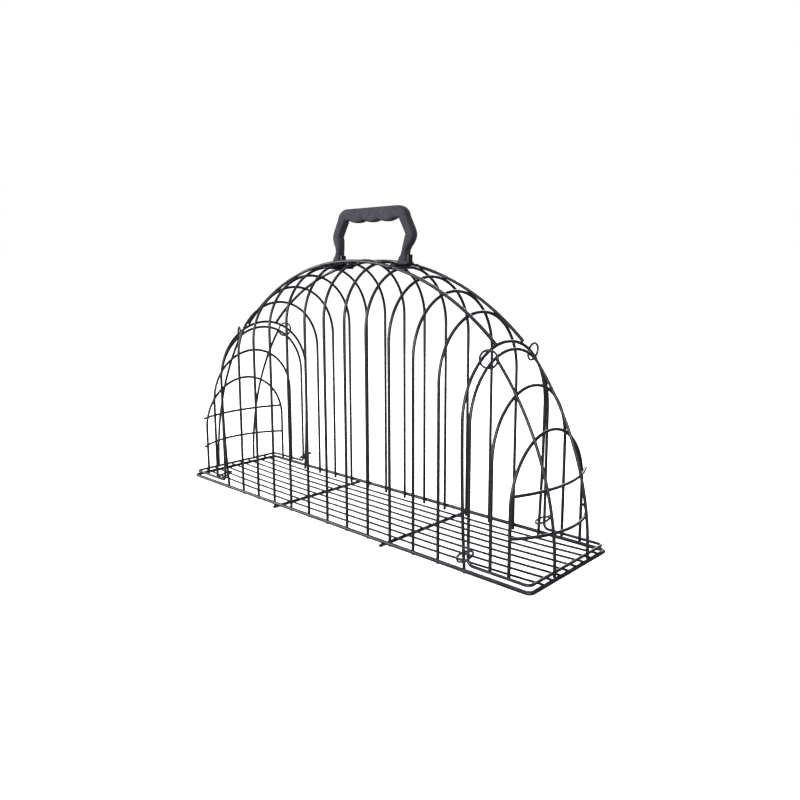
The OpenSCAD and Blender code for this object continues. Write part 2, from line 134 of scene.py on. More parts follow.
# ---- Colour and nodes ----


def linear(hex_colour: str) -> tuple[float, float, float, float]:
    """Turns an sRGB hex colour into a linear one.

    Args:
        hex_colour: The colour as "#rrggbb".

    Returns:
        Linear red, green and blue, and an alpha of one.
    """
    channels = [int(hex_colour[i:i + 2], 16) / 255 for i in (1, 3, 5)]
    red, green, blue = (
        c / 12.92 if c <= 0.04045 else ((c + 0.055) / 1.055) ** 2.4 for c in channels
    )
    return red, green, blue, 1.0


def per_metre(size_mm: float) -> float:
    """The texture scale at which one feature of a pattern is size_mm across."""
    return 1 / (size_mm * MM)


def add_node(
    tree: Tree,
    kind: str,
    settings: dict[str, object] | None = None,
    values: dict[str | int, object] | None = None,
    links: dict[str | int, Socket] | None = None,
) -> Node:
    """Adds one node with its settings, input values and incoming links.

    Args:
        tree: The node tree that takes the node.
        kind: The node's type name.
        settings: Properties of the node itself, by name.
        values: Values for input sockets, by name or index.
        links: Output sockets to link from, by input name or index.

    Returns:
        The new node.
    """
    node = tree.nodes.new(kind)
    for name, value in (settings or {}).items():
        setattr(node, name, value)
    for key, value in (values or {}).items():
        node.inputs[key].default_value = value
    for key, socket in (links or {}).items():
        tree.links.new(socket, node.inputs[key])
    return node


def new_material(name: str) -> tuple[bpy.types.Material, Tree, Node]:
    """Makes an empty node material with its shader and output.

    Args:
        name: The material's name.

    Returns:
        The material, its node tree and its Principled shader.
    """
    material = bpy.data.materials.new(name)
    material.use_nodes = True
    tree = material.node_tree
    tree.nodes.clear()
    shader = add_node(tree, "ShaderNodeBsdfPrincipled")
    add_node(tree, "ShaderNodeOutputMaterial", links={"Surface": shader.outputs["BSDF"]})
    return material, tree, shader


# Socket numbers of a Mix node in its colour mode, whose socket names its other modes share
MIX_FROM, MIX_TO, MIX_RESULT = 6, 7, 2
# A seed moves the patterns by this much in metres
SEED_STEP = (0.137, 0.251, 0.093)
# Cloud values run from about 0.3 to 0.7, and patches fade in over a window of them
WHOLE_CLOUD = (0.3, 0.7)
HEART_OF_CLOUD = (0.35, 0.65)


def patches(
    tree: Tree,
    place: Socket,
    size_mm: float,
    window: tuple[float, float],
    span: tuple[float, float] = (0.0, 1.0),
    detail: float = 3.0,
    roughness: float = 0.55,
) -> Socket:
    """Soft-edged patches of a real size: a cloud pattern faded out below and above a window.

    Args:
        tree: The node tree.
        place: The coordinates in metres.
        size_mm: Distance across one patch.
        window: The cloud values at which the patches begin and are full.
        span: The results outside the patches and inside them.
        detail: Octaves of finer pattern.
        roughness: Strength of each finer octave.

    Returns:
        The result's socket.
    """
    clouds = add_node(
        tree, "ShaderNodeTexNoise",
        values={"Scale": per_metre(size_mm), "Detail": detail, "Roughness": roughness},
        links={"Vector": place},
    )
    faded = add_node(
        tree, "ShaderNodeMapRange", {"interpolation_type": "SMOOTHSTEP"},
        {"From Min": window[0], "From Max": window[1], "To Min": span[0], "To Max": span[1]},
        {"Value": clouds.outputs["Fac"]},
    )
    return faded.outputs["Result"]


def moved_coordinates(tree: Tree, seed: int) -> tuple[Socket, Node]:
    """Object coordinates shifted by a seed, so that no two finishes show one pattern in one place.

    Args:
        tree: The node tree.
        seed: Any whole number.

    Returns:
        The shifted coordinates and the texture coordinate node itself.
    """
    coordinates = add_node(tree, "ShaderNodeTexCoord")
    shift = add_node(
        tree, "ShaderNodeVectorMath", {"operation": "ADD"},
        {1: tuple(step * seed for step in SEED_STEP)}, {0: coordinates.outputs["Object"]},
    )
    return shift.outputs["Vector"], coordinates


def near_points(
    tree: Tree, coordinates: Node, points: Sequence[Vector], reach_mm: float
) -> Socket:
    """A mask that is one at any of some points and fades to zero at a distance.

    Args:
        tree: The node tree.
        coordinates: The texture coordinate node.
        points: The points in millimetres, at least one.
        reach_mm: The distance at which the mask has faded out.

    Returns:
        The mask's socket.
    """
    spots = []
    for point in points:
        apart = add_node(
            tree, "ShaderNodeVectorMath", {"operation": "DISTANCE"},
            {1: point * MM}, {0: coordinates.outputs["Object"]},
        )
        spots.append(add_node(
            tree, "ShaderNodeMapRange", {"interpolation_type": "SMOOTHSTEP"},
            {"From Min": reach_mm * MM, "From Max": 0.0, "To Min": 0.0, "To Max": 1.0},
            {"Value": apart.outputs["Value"]},
        ).outputs["Result"])
    mask = spots[0]
    for spot in spots[1:]:
        mask = add_node(
            tree, "ShaderNodeMath", {"operation": "MAXIMUM"}, links={0: mask, 1: spot}
        ).outputs["Value"]
    return mask


# ---- Finishes ----


@dataclass(frozen=True)
class Finish:
    """What every finish of the object has: a name, a seed for its patterns, shine and relief."""

    name: str
    seed: int
    ior: float = 1.5
    specular: float = 0.5
    relief_mm: float = 0.1
    relief_strength: float = 0.5

    def join(
        self, tree: Tree, shader: Node, colour: Socket, gloss: Socket, height: Socket
    ) -> None:
        """Joins the patterns of a finish to its shader, and sets what is even all over.

        Args:
            tree: The node tree.
            shader: The shader.
            colour: The socket of the colour.
            gloss: The socket of the roughness.
            height: The socket of the relief.
        """
        bump = add_node(
            tree, "ShaderNodeBump",
            values={"Strength": self.relief_strength, "Distance": self.relief_mm * MM},
            links={"Height": height},
        )
        tree.links.new(colour, shader.inputs["Base Color"])
        tree.links.new(gloss, shader.inputs["Roughness"])
        tree.links.new(bump.outputs["Normal"], shader.inputs["Normal"])
        shader.inputs["IOR"].default_value = self.ior
        shader.inputs["Specular IOR Level"].default_value = self.specular


@dataclass(frozen=True)
class CoatedWire(Finish):
    """Drawn mild steel wire under a baked epoxy coat, charcoal with a faint violet cast.

    The coat is a semi-gloss film: a narrow soft highlight along each wire, faint orange peel, and
    a colour that clouds where the film lies thicker.  Where wires rub, it is worn dull and pale.
    An epoxy film over steel shows only the film, so it is a dielectric of about 1.5.
    """

    coat: str = "#19161e"
    thick_coat: str = "#121016"
    worn_coat: str = "#403e48"
    specular: float = 0.22
    roughness: tuple[float, float] = (0.24, 0.36)
    gloss_patch_mm: float = 9.0
    cloud_mm: float = 26.0
    cloud_window: tuple[float, float] = (0.36, 0.66)
    # Real orange peel is about 1 mm across, which still shows; it is drawn higher than it is
    peel_mm: float = 1.1
    relief_mm: float = 0.072
    relief_strength: float = 0.35
    # Real drawing lines are 0.05 mm apart; they are drawn coarser so that they show
    draw_line_mm: float = 0.5
    draw_line_share: float = 0.35
    # The coat is scuffed here and there, and worn in flecks where wires rub
    scuff_mm: float = 5.5
    scuff_window: tuple[float, float] = (0.63, 0.74)
    scuff_wear: float = 0.45
    fleck_window: tuple[float, float] = (0.38, 0.6)
    worn_dulling: float = 0.22
    rub_points: tuple[Vector, ...] = ()
    rub_reach_mm: float = 9.0

    def build(self) -> bpy.types.Material:
        """Builds the finish.

        Returns:
            The node material.
        """
        material, tree, shader = new_material(self.name)
        place, coordinates = moved_coordinates(tree, self.seed)
        film = add_node(
            tree, "ShaderNodeMix", {"data_type": "RGBA"},
            {MIX_FROM: linear(self.coat), MIX_TO: linear(self.thick_coat)},
            {"Factor": patches(tree, place, self.cloud_mm, self.cloud_window, detail=4.0)},
        ).outputs[MIX_RESULT]
        lines = add_node(
            tree, "ShaderNodeTexNoise",
            values={"Scale": per_metre(self.draw_line_mm), "Detail": 2.0, "Roughness": 0.7},
            links={"Vector": place},
        ).outputs["Fac"]
        wear = patches(
            tree, place, self.scuff_mm, self.scuff_window, (0.0, self.scuff_wear),
            detail=6.0, roughness=0.75,
        )
        if self.rub_points:
            near = near_points(tree, coordinates, self.rub_points, self.rub_reach_mm)
            flecks = add_node(
                tree, "ShaderNodeMapRange", {"interpolation_type": "SMOOTHSTEP"},
                {"From Min": self.fleck_window[0], "From Max": self.fleck_window[1]},
                {"Value": lines},
            ).outputs["Result"]
            rubbed = add_node(
                tree, "ShaderNodeMath", {"operation": "MULTIPLY"}, links={0: near, 1: flecks}
            ).outputs["Value"]
            wear = add_node(
                tree, "ShaderNodeMath", {"operation": "MAXIMUM"}, links={0: wear, 1: rubbed}
            ).outputs["Value"]
        gloss = add_node(
            tree, "ShaderNodeMath", {"operation": "MULTIPLY_ADD"}, {1: self.worn_dulling},
            {0: wear, 2: patches(tree, place, self.gloss_patch_mm, WHOLE_CLOUD, self.roughness)},
        ).outputs["Value"]
        peel = add_node(
            tree, "ShaderNodeTexNoise",
            values={"Scale": per_metre(self.peel_mm), "Detail": 2.0, "Roughness": 0.4},
            links={"Vector": place},
        ).outputs["Fac"]
        relief = add_node(
            tree, "ShaderNodeMath", {"operation": "MULTIPLY_ADD"},
            {1: self.draw_line_share}, {0: lines, 2: peel},
        ).outputs["Value"]
        colour = add_node(
            tree, "ShaderNodeMix", {"data_type": "RGBA"}, {MIX_TO: linear(self.worn_coat)},
            {"Factor": wear, MIX_FROM: film},
        ).outputs[MIX_RESULT]
        self.join(tree, shader, colour, gloss, relief)
        return material


@dataclass(frozen=True)
class CoatedWeld(Finish):
    """A resistance weld under the same epoxy coat.

    The squeezed-out metal is lumpy and the coat has drawn into the corner, so it is darker than
    the wire, with blotchy gloss.
    """

    coat: str = "#141219"
    pooled_coat: str = "#0c0b0f"
    pool_mm: float = 2.2
    specular: float = 0.22
    roughness: tuple[float, float] = (0.28, 0.5)
    lump_mm: float = 0.8
    relief_mm: float = 0.08
    relief_strength: float = 0.7

    def build(self) -> bpy.types.Material:
        """Builds the finish.

        Returns:
            The node material.
        """
        material, tree, shader = new_material(self.name)
        place, _ = moved_coordinates(tree, self.seed)
        lumps = add_node(
            tree, "ShaderNodeTexNoise",
            values={"Scale": per_metre(self.lump_mm), "Detail": 4.0, "Roughness": 0.6},
            links={"Vector": place},
        ).outputs["Fac"]
        (low, high), (dull, duller) = WHOLE_CLOUD, self.roughness
        gloss = add_node(
            tree, "ShaderNodeMapRange", {"interpolation_type": "SMOOTHSTEP"},
            {"From Min": low, "From Max": high, "To Min": dull, "To Max": duller},
            {"Value": lumps},
        ).outputs["Result"]
        colour = add_node(
            tree, "ShaderNodeMix", {"data_type": "RGBA"},
            {MIX_FROM: linear(self.coat), MIX_TO: linear(self.pooled_coat)},
            {"Factor": patches(tree, place, self.pool_mm, HEART_OF_CLOUD)},
        ).outputs[MIX_RESULT]
        self.join(tree, shader, colour, gloss, lumps)
        return material


@dataclass(frozen=True)
class MouldedPolypropylene(Finish):
    """Polypropylene moulded in a spark-eroded tool, dark grey with a violet cast.

    The tool's fine grain makes it matt and a little chalky.  The grain is polished on the swells
    where fingers close, and faint flow clouds run through the colour.
    """

    colour: str = "#25232b"
    flow: str = "#222028"
    polished: str = "#1e1c24"
    scratch: str = "#3a3841"
    # Polypropylene's own index; the grain takes the rest of its shine
    ior: float = 1.49
    specular: float = 0.15
    roughness: tuple[float, float] = (0.62, 0.78)
    gloss_patch_mm: float = 7.0
    # Real spark-eroded grain is about 0.1 mm; it is drawn at 0.35 mm so that it shows
    grain_mm: float = 0.35
    relief_mm: float = 0.03
    relief_strength: float = 0.6
    flow_mm: float = 34.0
    # Scratches run along the grip, in a few places only
    scratch_mm: float = 0.9
    scratch_window: tuple[float, float] = (0.64, 0.7)
    scratch_turn: tuple[float, float, float] = (0.0, 0.6, 0.2)
    scratch_stretch: tuple[float, float, float] = (0.12, 1.0, 1.0)
    scratch_place_mm: float = 11.0
    scratch_place_window: tuple[float, float] = (0.6, 0.7)
    scratch_share: float = 0.6
    grip_points: tuple[Vector, ...] = ()
    grip_reach_mm: float = 14.0
    grip_patch_mm: float = 4.0
    grip_window: tuple[float, float] = (0.3, 0.6)
    grip_polish: float = -0.16

    def build(self) -> bpy.types.Material:
        """Builds the finish.

        Returns:
            The node material.
        """
        material, tree, shader = new_material(self.name)
        place, coordinates = moved_coordinates(tree, self.seed)
        colour = add_node(
            tree, "ShaderNodeMix", {"data_type": "RGBA"},
            {MIX_FROM: linear(self.colour), MIX_TO: linear(self.flow)},
            {"Factor": patches(tree, place, self.flow_mm, HEART_OF_CLOUD)},
        ).outputs[MIX_RESULT]
        gloss = patches(tree, place, self.gloss_patch_mm, WHOLE_CLOUD, self.roughness)
        if self.grip_points:
            near = near_points(tree, coordinates, self.grip_points, self.grip_reach_mm)
            held = add_node(
                tree, "ShaderNodeMath", {"operation": "MULTIPLY"},
                links={0: near, 1: patches(tree, place, self.grip_patch_mm, self.grip_window)},
            ).outputs["Value"]
            colour = add_node(
                tree, "ShaderNodeMix", {"data_type": "RGBA"}, {MIX_TO: linear(self.polished)},
                {"Factor": held, MIX_FROM: colour},
            ).outputs[MIX_RESULT]
            gloss = add_node(
                tree, "ShaderNodeMath", {"operation": "MULTIPLY_ADD"},
                {1: self.grip_polish}, {0: held, 2: gloss},
            ).outputs["Value"]
        stretched = add_node(
            tree, "ShaderNodeMapping",
            values={"Rotation": self.scratch_turn, "Scale": self.scratch_stretch},
            links={"Vector": place},
        ).outputs["Vector"]
        lines = patches(tree, stretched, self.scratch_mm, self.scratch_window, detail=2.0)
        rare = patches(
            tree, place, self.scratch_place_mm, self.scratch_place_window,
            (0.0, self.scratch_share), detail=2.0,
        )
        scratches = add_node(
            tree, "ShaderNodeMath", {"operation": "MULTIPLY"}, links={0: lines, 1: rare}
        ).outputs["Value"]
        colour = add_node(
            tree, "ShaderNodeMix", {"data_type": "RGBA"}, {MIX_TO: linear(self.scratch)},
            {"Factor": scratches, MIX_FROM: colour},
        ).outputs[MIX_RESULT]
        grain = add_node(
            tree, "ShaderNodeTexNoise",
            values={"Scale": per_metre(self.grain_mm), "Detail": 2.0, "Roughness": 0.5},
            links={"Vector": place},
        ).outputs["Fac"]
        self.join(tree, shader, colour, gloss, grain)
        return material


@dataclass(frozen=True)
class StagePaper:
    """Matt white background paper, even and without a visible grain.

    It glows where it is seen, so that it reads white, and throws less light back at the object.
    """

    name: str = "stage_paper"
    tone: str = "#f7f7f7"
    unseen_tone: str = "#808080"
    glow: float = 0.8
    fibre_mm: float = 1.5
    roughness: tuple[float, float] = (0.85, 0.95)
    specular: float = 0.1

    def build(self) -> bpy.types.Material:
        """Builds the finish.

        Returns:
            The node material.
        """
        material, tree, shader = new_material(self.name)
        place, _ = moved_coordinates(tree, 1)
        gloss = patches(tree, place, self.fibre_mm, WHOLE_CLOUD, self.roughness, detail=2.0)
        seen = add_node(tree, "ShaderNodeLightPath").outputs["Is Camera Ray"]
        tone = add_node(
            tree, "ShaderNodeMix", {"data_type": "RGBA"},
            {MIX_FROM: linear(self.unseen_tone), MIX_TO: linear(self.tone)}, {"Factor": seen},
        ).outputs[MIX_RESULT]
        glow = add_node(
            tree, "ShaderNodeMath", {"operation": "MULTIPLY"}, {1: self.glow}, {0: seen}
        ).outputs["Value"]
        tree.links.new(gloss, shader.inputs["Roughness"])
        tree.links.new(tone, shader.inputs["Base Color"])
        tree.links.new(glow, shader.inputs["Emission Strength"])
        shader.inputs["Emission Color"].default_value = linear("#ffffff")
        shader.inputs["Specular IOR Level"].default_value = self.specular
        return material


# ---- Meshes ----


def new_piece(
    name: str,
    vertices: Iterable[Sequence[float]],
    faces: Iterable[Sequence[int]],
    material: bpy.types.Material,
    sharp_above_deg: float | None = None,
) -> bpy.types.Object:
    """Makes a mesh object from points in millimetres.

    Args:
        name: The piece's name.
        vertices: Points in millimetres, in the CAD frame.
        faces: Corner indices of each face.
        material: The piece's finish.
        sharp_above_deg: Edges that turn by more than this stay sharp; none if left out.

    Returns:
        The linked object.
    """
    mesh = bpy.data.meshes.new(name)
    mesh.from_pydata([tuple(c * MM for c in v) for v in vertices], [], [tuple(f) for f in faces])
    mesh.validate()
    work = bmesh.new()
    work.from_mesh(mesh)
    bmesh.ops.recalc_face_normals(work, faces=work.faces)
    for face in work.faces:
        face.smooth = True
    if sharp_above_deg is not None:
        for edge in work.edges:
            edge.smooth = edge.calc_face_angle(0.0) < math.radians(sharp_above_deg)
    work.to_mesh(mesh)
    work.free()
    mesh.materials.append(material)
    piece = bpy.data.objects.new(name, mesh)
    bpy.context.scene.collection.objects.link(piece)
    return piece


def circle(
    centre: np.ndarray, radius: float, east: np.ndarray, north: np.ndarray, count: int
) -> list[np.ndarray]:
    """Points once round a circle, from its unit vectors at zero and at ninety degrees."""
    angles = (math.tau * k / count for k in range(count))
    return [centre + radius * (math.cos(a) * east + math.sin(a) * north) for a in angles]


def tube_faces(rings: int, around: int) -> list[list[int]]:
    """The faces between rings of points, with a lid on each end.

    Args:
        rings: The number of rings.
        around: The number of points in each ring.

    Returns:
        Corner indices of each face, for points listed ring after ring.
    """
    faces = [
        [i * around + k, i * around + (k + 1) % around,
         (i + 1) * around + (k + 1) % around, (i + 1) * around + k]
        for i in range(rings - 1) for k in range(around)
    ]
    faces.append(list(reversed(range(around))))
    faces.append(list(range((rings - 1) * around, rings * around)))
    return faces


def merged(lumps: Iterable[Lump]) -> Lump:
    """Joins lumps into one mesh, held inside the box of the whole CAD frame.

    Args:
        lumps: The lumps.

    Returns:
        The points and faces of all of them.
    """
    low, high = (np.array(corner) / MM for corner in CAD_BOX)
    points: list[np.ndarray] = []
    faces: list[list[int]] = []
    for more_points, more_faces in lumps:
        faces += [[i + len(points) for i in face] for face in more_faces]
        points += [np.clip(point, low, high) for point in more_points]
    return points, faces


def dress_node(node: str, material: bpy.types.Material) -> None:
    """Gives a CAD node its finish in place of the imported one.

    Args:
        node: The node's name.
        material: Its finish.
    """
    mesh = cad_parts[node].data
    mesh.materials.clear()
    mesh.materials.append(material)


def seat(piece: bpy.types.Object, body: str) -> None:
    """Puts a new piece on its CAD body, and logs it.

    Args:
        piece: The piece, already in place.
        body: The CAD body's name.
    """
    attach(piece, body)
    LOG.info("%s: %d faces on %s", piece.name, len(piece.data.polygons), body)


def corners(node: str) -> tuple[np.ndarray, np.ndarray]:
    """The lowest and the highest corner of a CAD node, in millimetres."""
    low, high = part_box(node)
    return np.array(low) / MM, np.array(high) / MM


def middle(node: str) -> np.ndarray:
    """The middle of a CAD node's box, in millimetres."""
    low, high = corners(node)
    return (low + high) / 2


# ---- Wires ----

# Distance between the points of a wire's centreline
STEP = 1.0
X, Y, Z = np.eye(3)
# Cosine above which a direction counts as straight up
LEVEL = 0.9
# Cosine above which two wires run side by side rather than cross
SIDE_BY_SIDE = 0.97
# Two crossings of one pair of wires are further apart than this
CROSSINGS_APART = 8.0


def straight(start: Sequence[float], end: Sequence[float]) -> np.ndarray:
    """Points a step apart along a straight wire.

    Args:
        start: The first point.
        end: The last point.

    Returns:
        An array of points, both ends included.
    """
    first, last = np.array(start, float), np.array(end, float)
    count = max(2, round(np.linalg.norm(last - first) / STEP) + 1)
    return np.linspace(first, last, count)


def bend(
    centre: Sequence[float],
    radius: float,
    along: np.ndarray,
    aside: np.ndarray,
    start_deg: float,
    end_deg: float,
) -> np.ndarray:
    """Points a step apart along a bent wire.

    Args:
        centre: The bend's centre.
        radius: The bend's radius at the centreline.
        along: Unit vector at zero degrees.
        aside: Unit vector at ninety degrees.
        start_deg: The first angle.
        end_deg: The last angle.

    Returns:
        An array of points, both ends included.
    """
    sweep = math.radians(end_deg - start_deg)
    count = max(4, round(abs(sweep) * radius / STEP) + 1)
    angles = math.radians(start_deg) + np.linspace(0.0, sweep, count)
    return np.array(centre, float) + radius * (
        np.outer(np.cos(angles), along) + np.outer(np.sin(angles), aside)
    )


def joined(*stretches: np.ndarray) -> np.ndarray:
    """Joins stretches end to end, dropping the points that they share."""
    return np.concatenate([stretches[0]] + [s[1:] for s in stretches[1:]])


def side_bend_radius(along: float, aside: float) -> float:
    """Radius of an arc that leaves a line square on and reaches a point along and aside."""
    return (along ** 2 + aside ** 2) / (2 * aside)


@dataclass
class Wire:
    """One round wire: its centreline and its radius."""

    points: np.ndarray
    radius: float
    closed: bool = False

    def tangent(self, index: int) -> np.ndarray:
        """The unit direction of the centreline at a point of it.

        Args:
            index: The point's index.

        Returns:
            The direction.
        """
        ahead = self.points[min(index + 1, len(self.points) - 1)]
        behind = self.points[max(index - 1, 0)]
        return (ahead - behind) / np.linalg.norm(ahead - behind)

    def ends(self) -> list[tuple[np.ndarray, np.ndarray]]:
        """The wire's cut ends; a closed wire has none.

        Returns:
            The place and the outward direction of each.
        """
        if self.closed:
            return []
        last = len(self.points) - 1
        return [(self.points[0], -self.tangent(0)), (self.points[last], self.tangent(last))]


@dataclass
class Crossing:
    """A place where two wires are welded: the radius, the place and the direction of each."""

    radii: tuple[float, float]
    places: tuple[np.ndarray, np.ndarray]
    along: tuple[np.ndarray, np.ndarray]


def find_crossings(first: Wire, second: Wire, margin: float = 0.25) -> list[Crossing]:
    """Finds where two wires touch.

    Args:
        first: One wire.
        second: The other wire.
        margin: Largest gap between their surfaces that still counts.

    Returns:
        One crossing for each place.
    """
    limit = first.radius + second.radius + margin
    box_gap = np.maximum(
        first.points.min(0) - second.points.max(0), second.points.min(0) - first.points.max(0)
    )
    if box_gap.max() > limit:
        return []
    apart = np.linalg.norm(first.points[:, None] - second.points[None], axis=2)
    found = []
    while apart.min() < limit + STEP / 2:
        i, j = np.unravel_index(apart.argmin(), apart.shape)
        t, u = first.tangent(i), second.tangent(j)
        p, q = first.points[i], second.points[j]
        turn = np.dot(t, u)
        if abs(turn) < SIDE_BY_SIDE:
            gap = q - p
            s = (np.dot(gap, t) - np.dot(gap, u) * turn) / (1 - turn ** 2)
            v = (np.dot(gap, t) * turn - np.dot(gap, u)) / (1 - turn ** 2)
            s, v = (float(np.clip(k, -STEP, STEP)) for k in (s, v))
            place, other = p + s * t, q + v * u
            if np.linalg.norm(place - other) < limit:
                found.append(Crossing((first.radius, second.radius), (place, other), (t, u)))
        apart[np.linalg.norm(first.points - p, axis=1) < CROSSINGS_APART] = np.inf
        if not np.isfinite(apart).any():
            break
    return found


def welds_among(wires: Sequence[Wire]) -> list[Crossing]:
    """Finds every weld between the wires of a list.

    Args:
        wires: The wires.

    Returns:
        The crossings of each pair of them.
    """
    return [
        crossing
        for i, first in enumerate(wires)
        for second in wires[i + 1:]
        for crossing in find_crossings(first, second)
    ]


@dataclass
class WeldFillets:
    """The fillets of weld metal and coating at a set of crossings, as one piece."""

    name: str
    crossings: list[Crossing]
    seed: int
    # Spread of a fillet and of its neck, as shares of the thinner wire's radius and the spread
    spread_share: float = 0.93
    neck_share: float = 0.6
    # A fillet's lids lie inside the wires: this share of its spread, and of the wire's radius deep
    lid_share: float = 0.7
    lid_depth: float = 0.3
    # It is uneven by waves, so many to the round, each this high as a share of the spread
    wave_counts: tuple[int, ...] = (1, 2, 3, 5)
    wave_heights: tuple[float, float] = (0.02, 0.07)
    around: int = 18
    rings_between: int = 4
    sharp_above_deg: float = 70.0

    def nugget(self, crossing: Crossing, dice: random.Random) -> Lump:
        """Builds one fillet, which fills the corner between two crossing wires.

        Args:
            crossing: The crossing.
            dice: The random source for the fillet's unevenness.

        Returns:
            The fillet.
        """
        r1, r2 = crossing.radii
        gap = crossing.places[1] - crossing.places[0]
        apart = float(np.linalg.norm(gap))
        up = gap / apart
        along_1, along_2 = crossing.along
        east = along_1 - np.dot(along_1, up) * up
        east /= np.linalg.norm(east)
        north = np.cross(up, east)
        turn = math.atan2(np.dot(along_2, north), np.dot(along_2, east))
        spread = self.spread_share * min(r1, r2)
        neck = self.neck_share * spread
        waves = [
            (n, dice.uniform(0.0, math.tau), dice.uniform(*self.wave_heights))
            for n in self.wave_counts
        ]

        def height_1(a: float, phi: float) -> float:
            """The height of the first wire's surface at a distance and an angle from the axis."""
            return math.sqrt(max(r1 ** 2 - (a * math.sin(phi)) ** 2, 0.0))

        def height_2(a: float, phi: float) -> float:
            """The height of the second wire's surface at a distance and an angle."""
            return apart - math.sqrt(max(r2 ** 2 - (a * math.sin(phi - turn)) ** 2, 0.0))

        columns: list[list[np.ndarray]] = []
        for k in range(self.around):
            phi = math.tau * k / self.around
            uneven = 1 + sum(size * math.sin(n * phi + at) for n, at, size in waves)
            wide_1, wide_2 = spread * uneven, spread * (2 - uneven)
            lid_1, lid_2 = self.lid_share * wide_1, self.lid_share * wide_2
            start = np.array((wide_1, height_1(wide_1, phi)))
            pinch = np.array((neck, (height_1(neck, phi) + height_2(neck, phi)) / 2))
            finish = np.array((wide_2, height_2(wide_2, phi)))
            shares = (step / self.rings_between for step in range(self.rings_between + 1))
            profile = [
                (lid_1, height_1(lid_1, phi) - self.lid_depth * r1),
                *((1 - t) ** 2 * start + 2 * t * (1 - t) * pinch + t ** 2 * finish for t in shares),
                (lid_2, height_2(lid_2, phi) + self.lid_depth * r2),
            ]
            outward = math.cos(phi) * east + math.sin(phi) * north
            columns.append([crossing.places[0] + up * h + a * outward for a, h in profile])
        points = [column[ring] for ring in range(len(columns[0])) for column in columns]
        return points, tube_faces(len(columns[0]), self.around)

    def build(self, body: str) -> None:
        """Builds all fillets as one piece.

        Args:
            body: The CAD body that the piece rides on.
        """
        dice = random.Random(self.seed)
        finish = CoatedWeld(name=f"{self.name}_coat", seed=self.seed)
        lumps = merged(self.nugget(crossing, dice) for crossing in self.crossings)
        LOG.info("%s: %d welds", self.name, len(self.crossings))
        piece = new_piece(self.name, *lumps, finish.build(), self.sharp_above_deg)
        seat(piece, body)


@dataclass
class CoatBeads:
    """The beads that the coat leaves on cut wire ends, as one piece."""

    name: str
    wires: list[Wire]
    seed: int
    lip_mm: float = 0.09
    # Beads differ: their lips by this factor, their domes by this share of the wire's radius
    lip_spread: tuple[float, float] = (0.8, 1.25)
    dome_share: tuple[float, float] = (0.22, 0.34)
    # A bead starts this far back, and this deep in the wire, and sags by this share
    back_mm: float = 0.7
    inset_mm: float = 0.03
    sag_share: float = 0.06
    around: int = 20

    def bead(
        self, place: np.ndarray, out: np.ndarray, radius: float, dice: random.Random
    ) -> Lump:
        """Builds one bead: a thick lip round the wire's edge and a shallow dome over its end.

        Args:
            place: The centre of the cut end.
            out: The direction out of the wire.
            radius: The wire's radius.
            dice: The random source for the bead's size and sag.

        Returns:
            The bead.
        """
        east = np.cross(Z if abs(out[2]) < LEVEL else X, out)
        east /= np.linalg.norm(east)
        north = np.cross(out, east)
        lip = self.lip_mm * dice.uniform(*self.lip_spread)
        dome = radius * dice.uniform(*self.dome_share)
        back = self.back_mm
        sag = -Z - np.dot(-Z, out) * out
        # Radius and place along the wire, from inside the wire over the lip to the dome's top
        outline = (
            (radius * 0.55, -back * 0.8),
            (radius - self.inset_mm, -back),
            (radius + lip * 0.55, -back * 0.62),
            (radius + lip, -back * 0.2),
            (radius + lip * 0.8, dome * 0.18),
            (radius * 0.88, dome * 0.52),
            (radius * 0.58, dome * 0.85),
            (radius * 0.22, dome),
        )
        points = []
        for r, h in outline:
            droop = sag * self.sag_share * radius * max(h + back, 0.0)
            points += circle(place + out * h + droop, r, east, north, self.around)
        return points, tube_faces(len(outline), self.around)

    def build(self, body: str) -> None:
        """Builds all beads as one piece.

        Args:
            body: The CAD body that the piece rides on.
        """
        dice = random.Random(self.seed)
        finish = CoatedWire(name=f"{self.name}_coat", seed=self.seed, roughness=(0.22, 0.34))
        lumps = merged(
            self.bead(place, out, wire.radius, dice)
            for wire in self.wires for place, out in wire.ends()
        )
        seat(new_piece(self.name, *lumps, finish.build()), body)


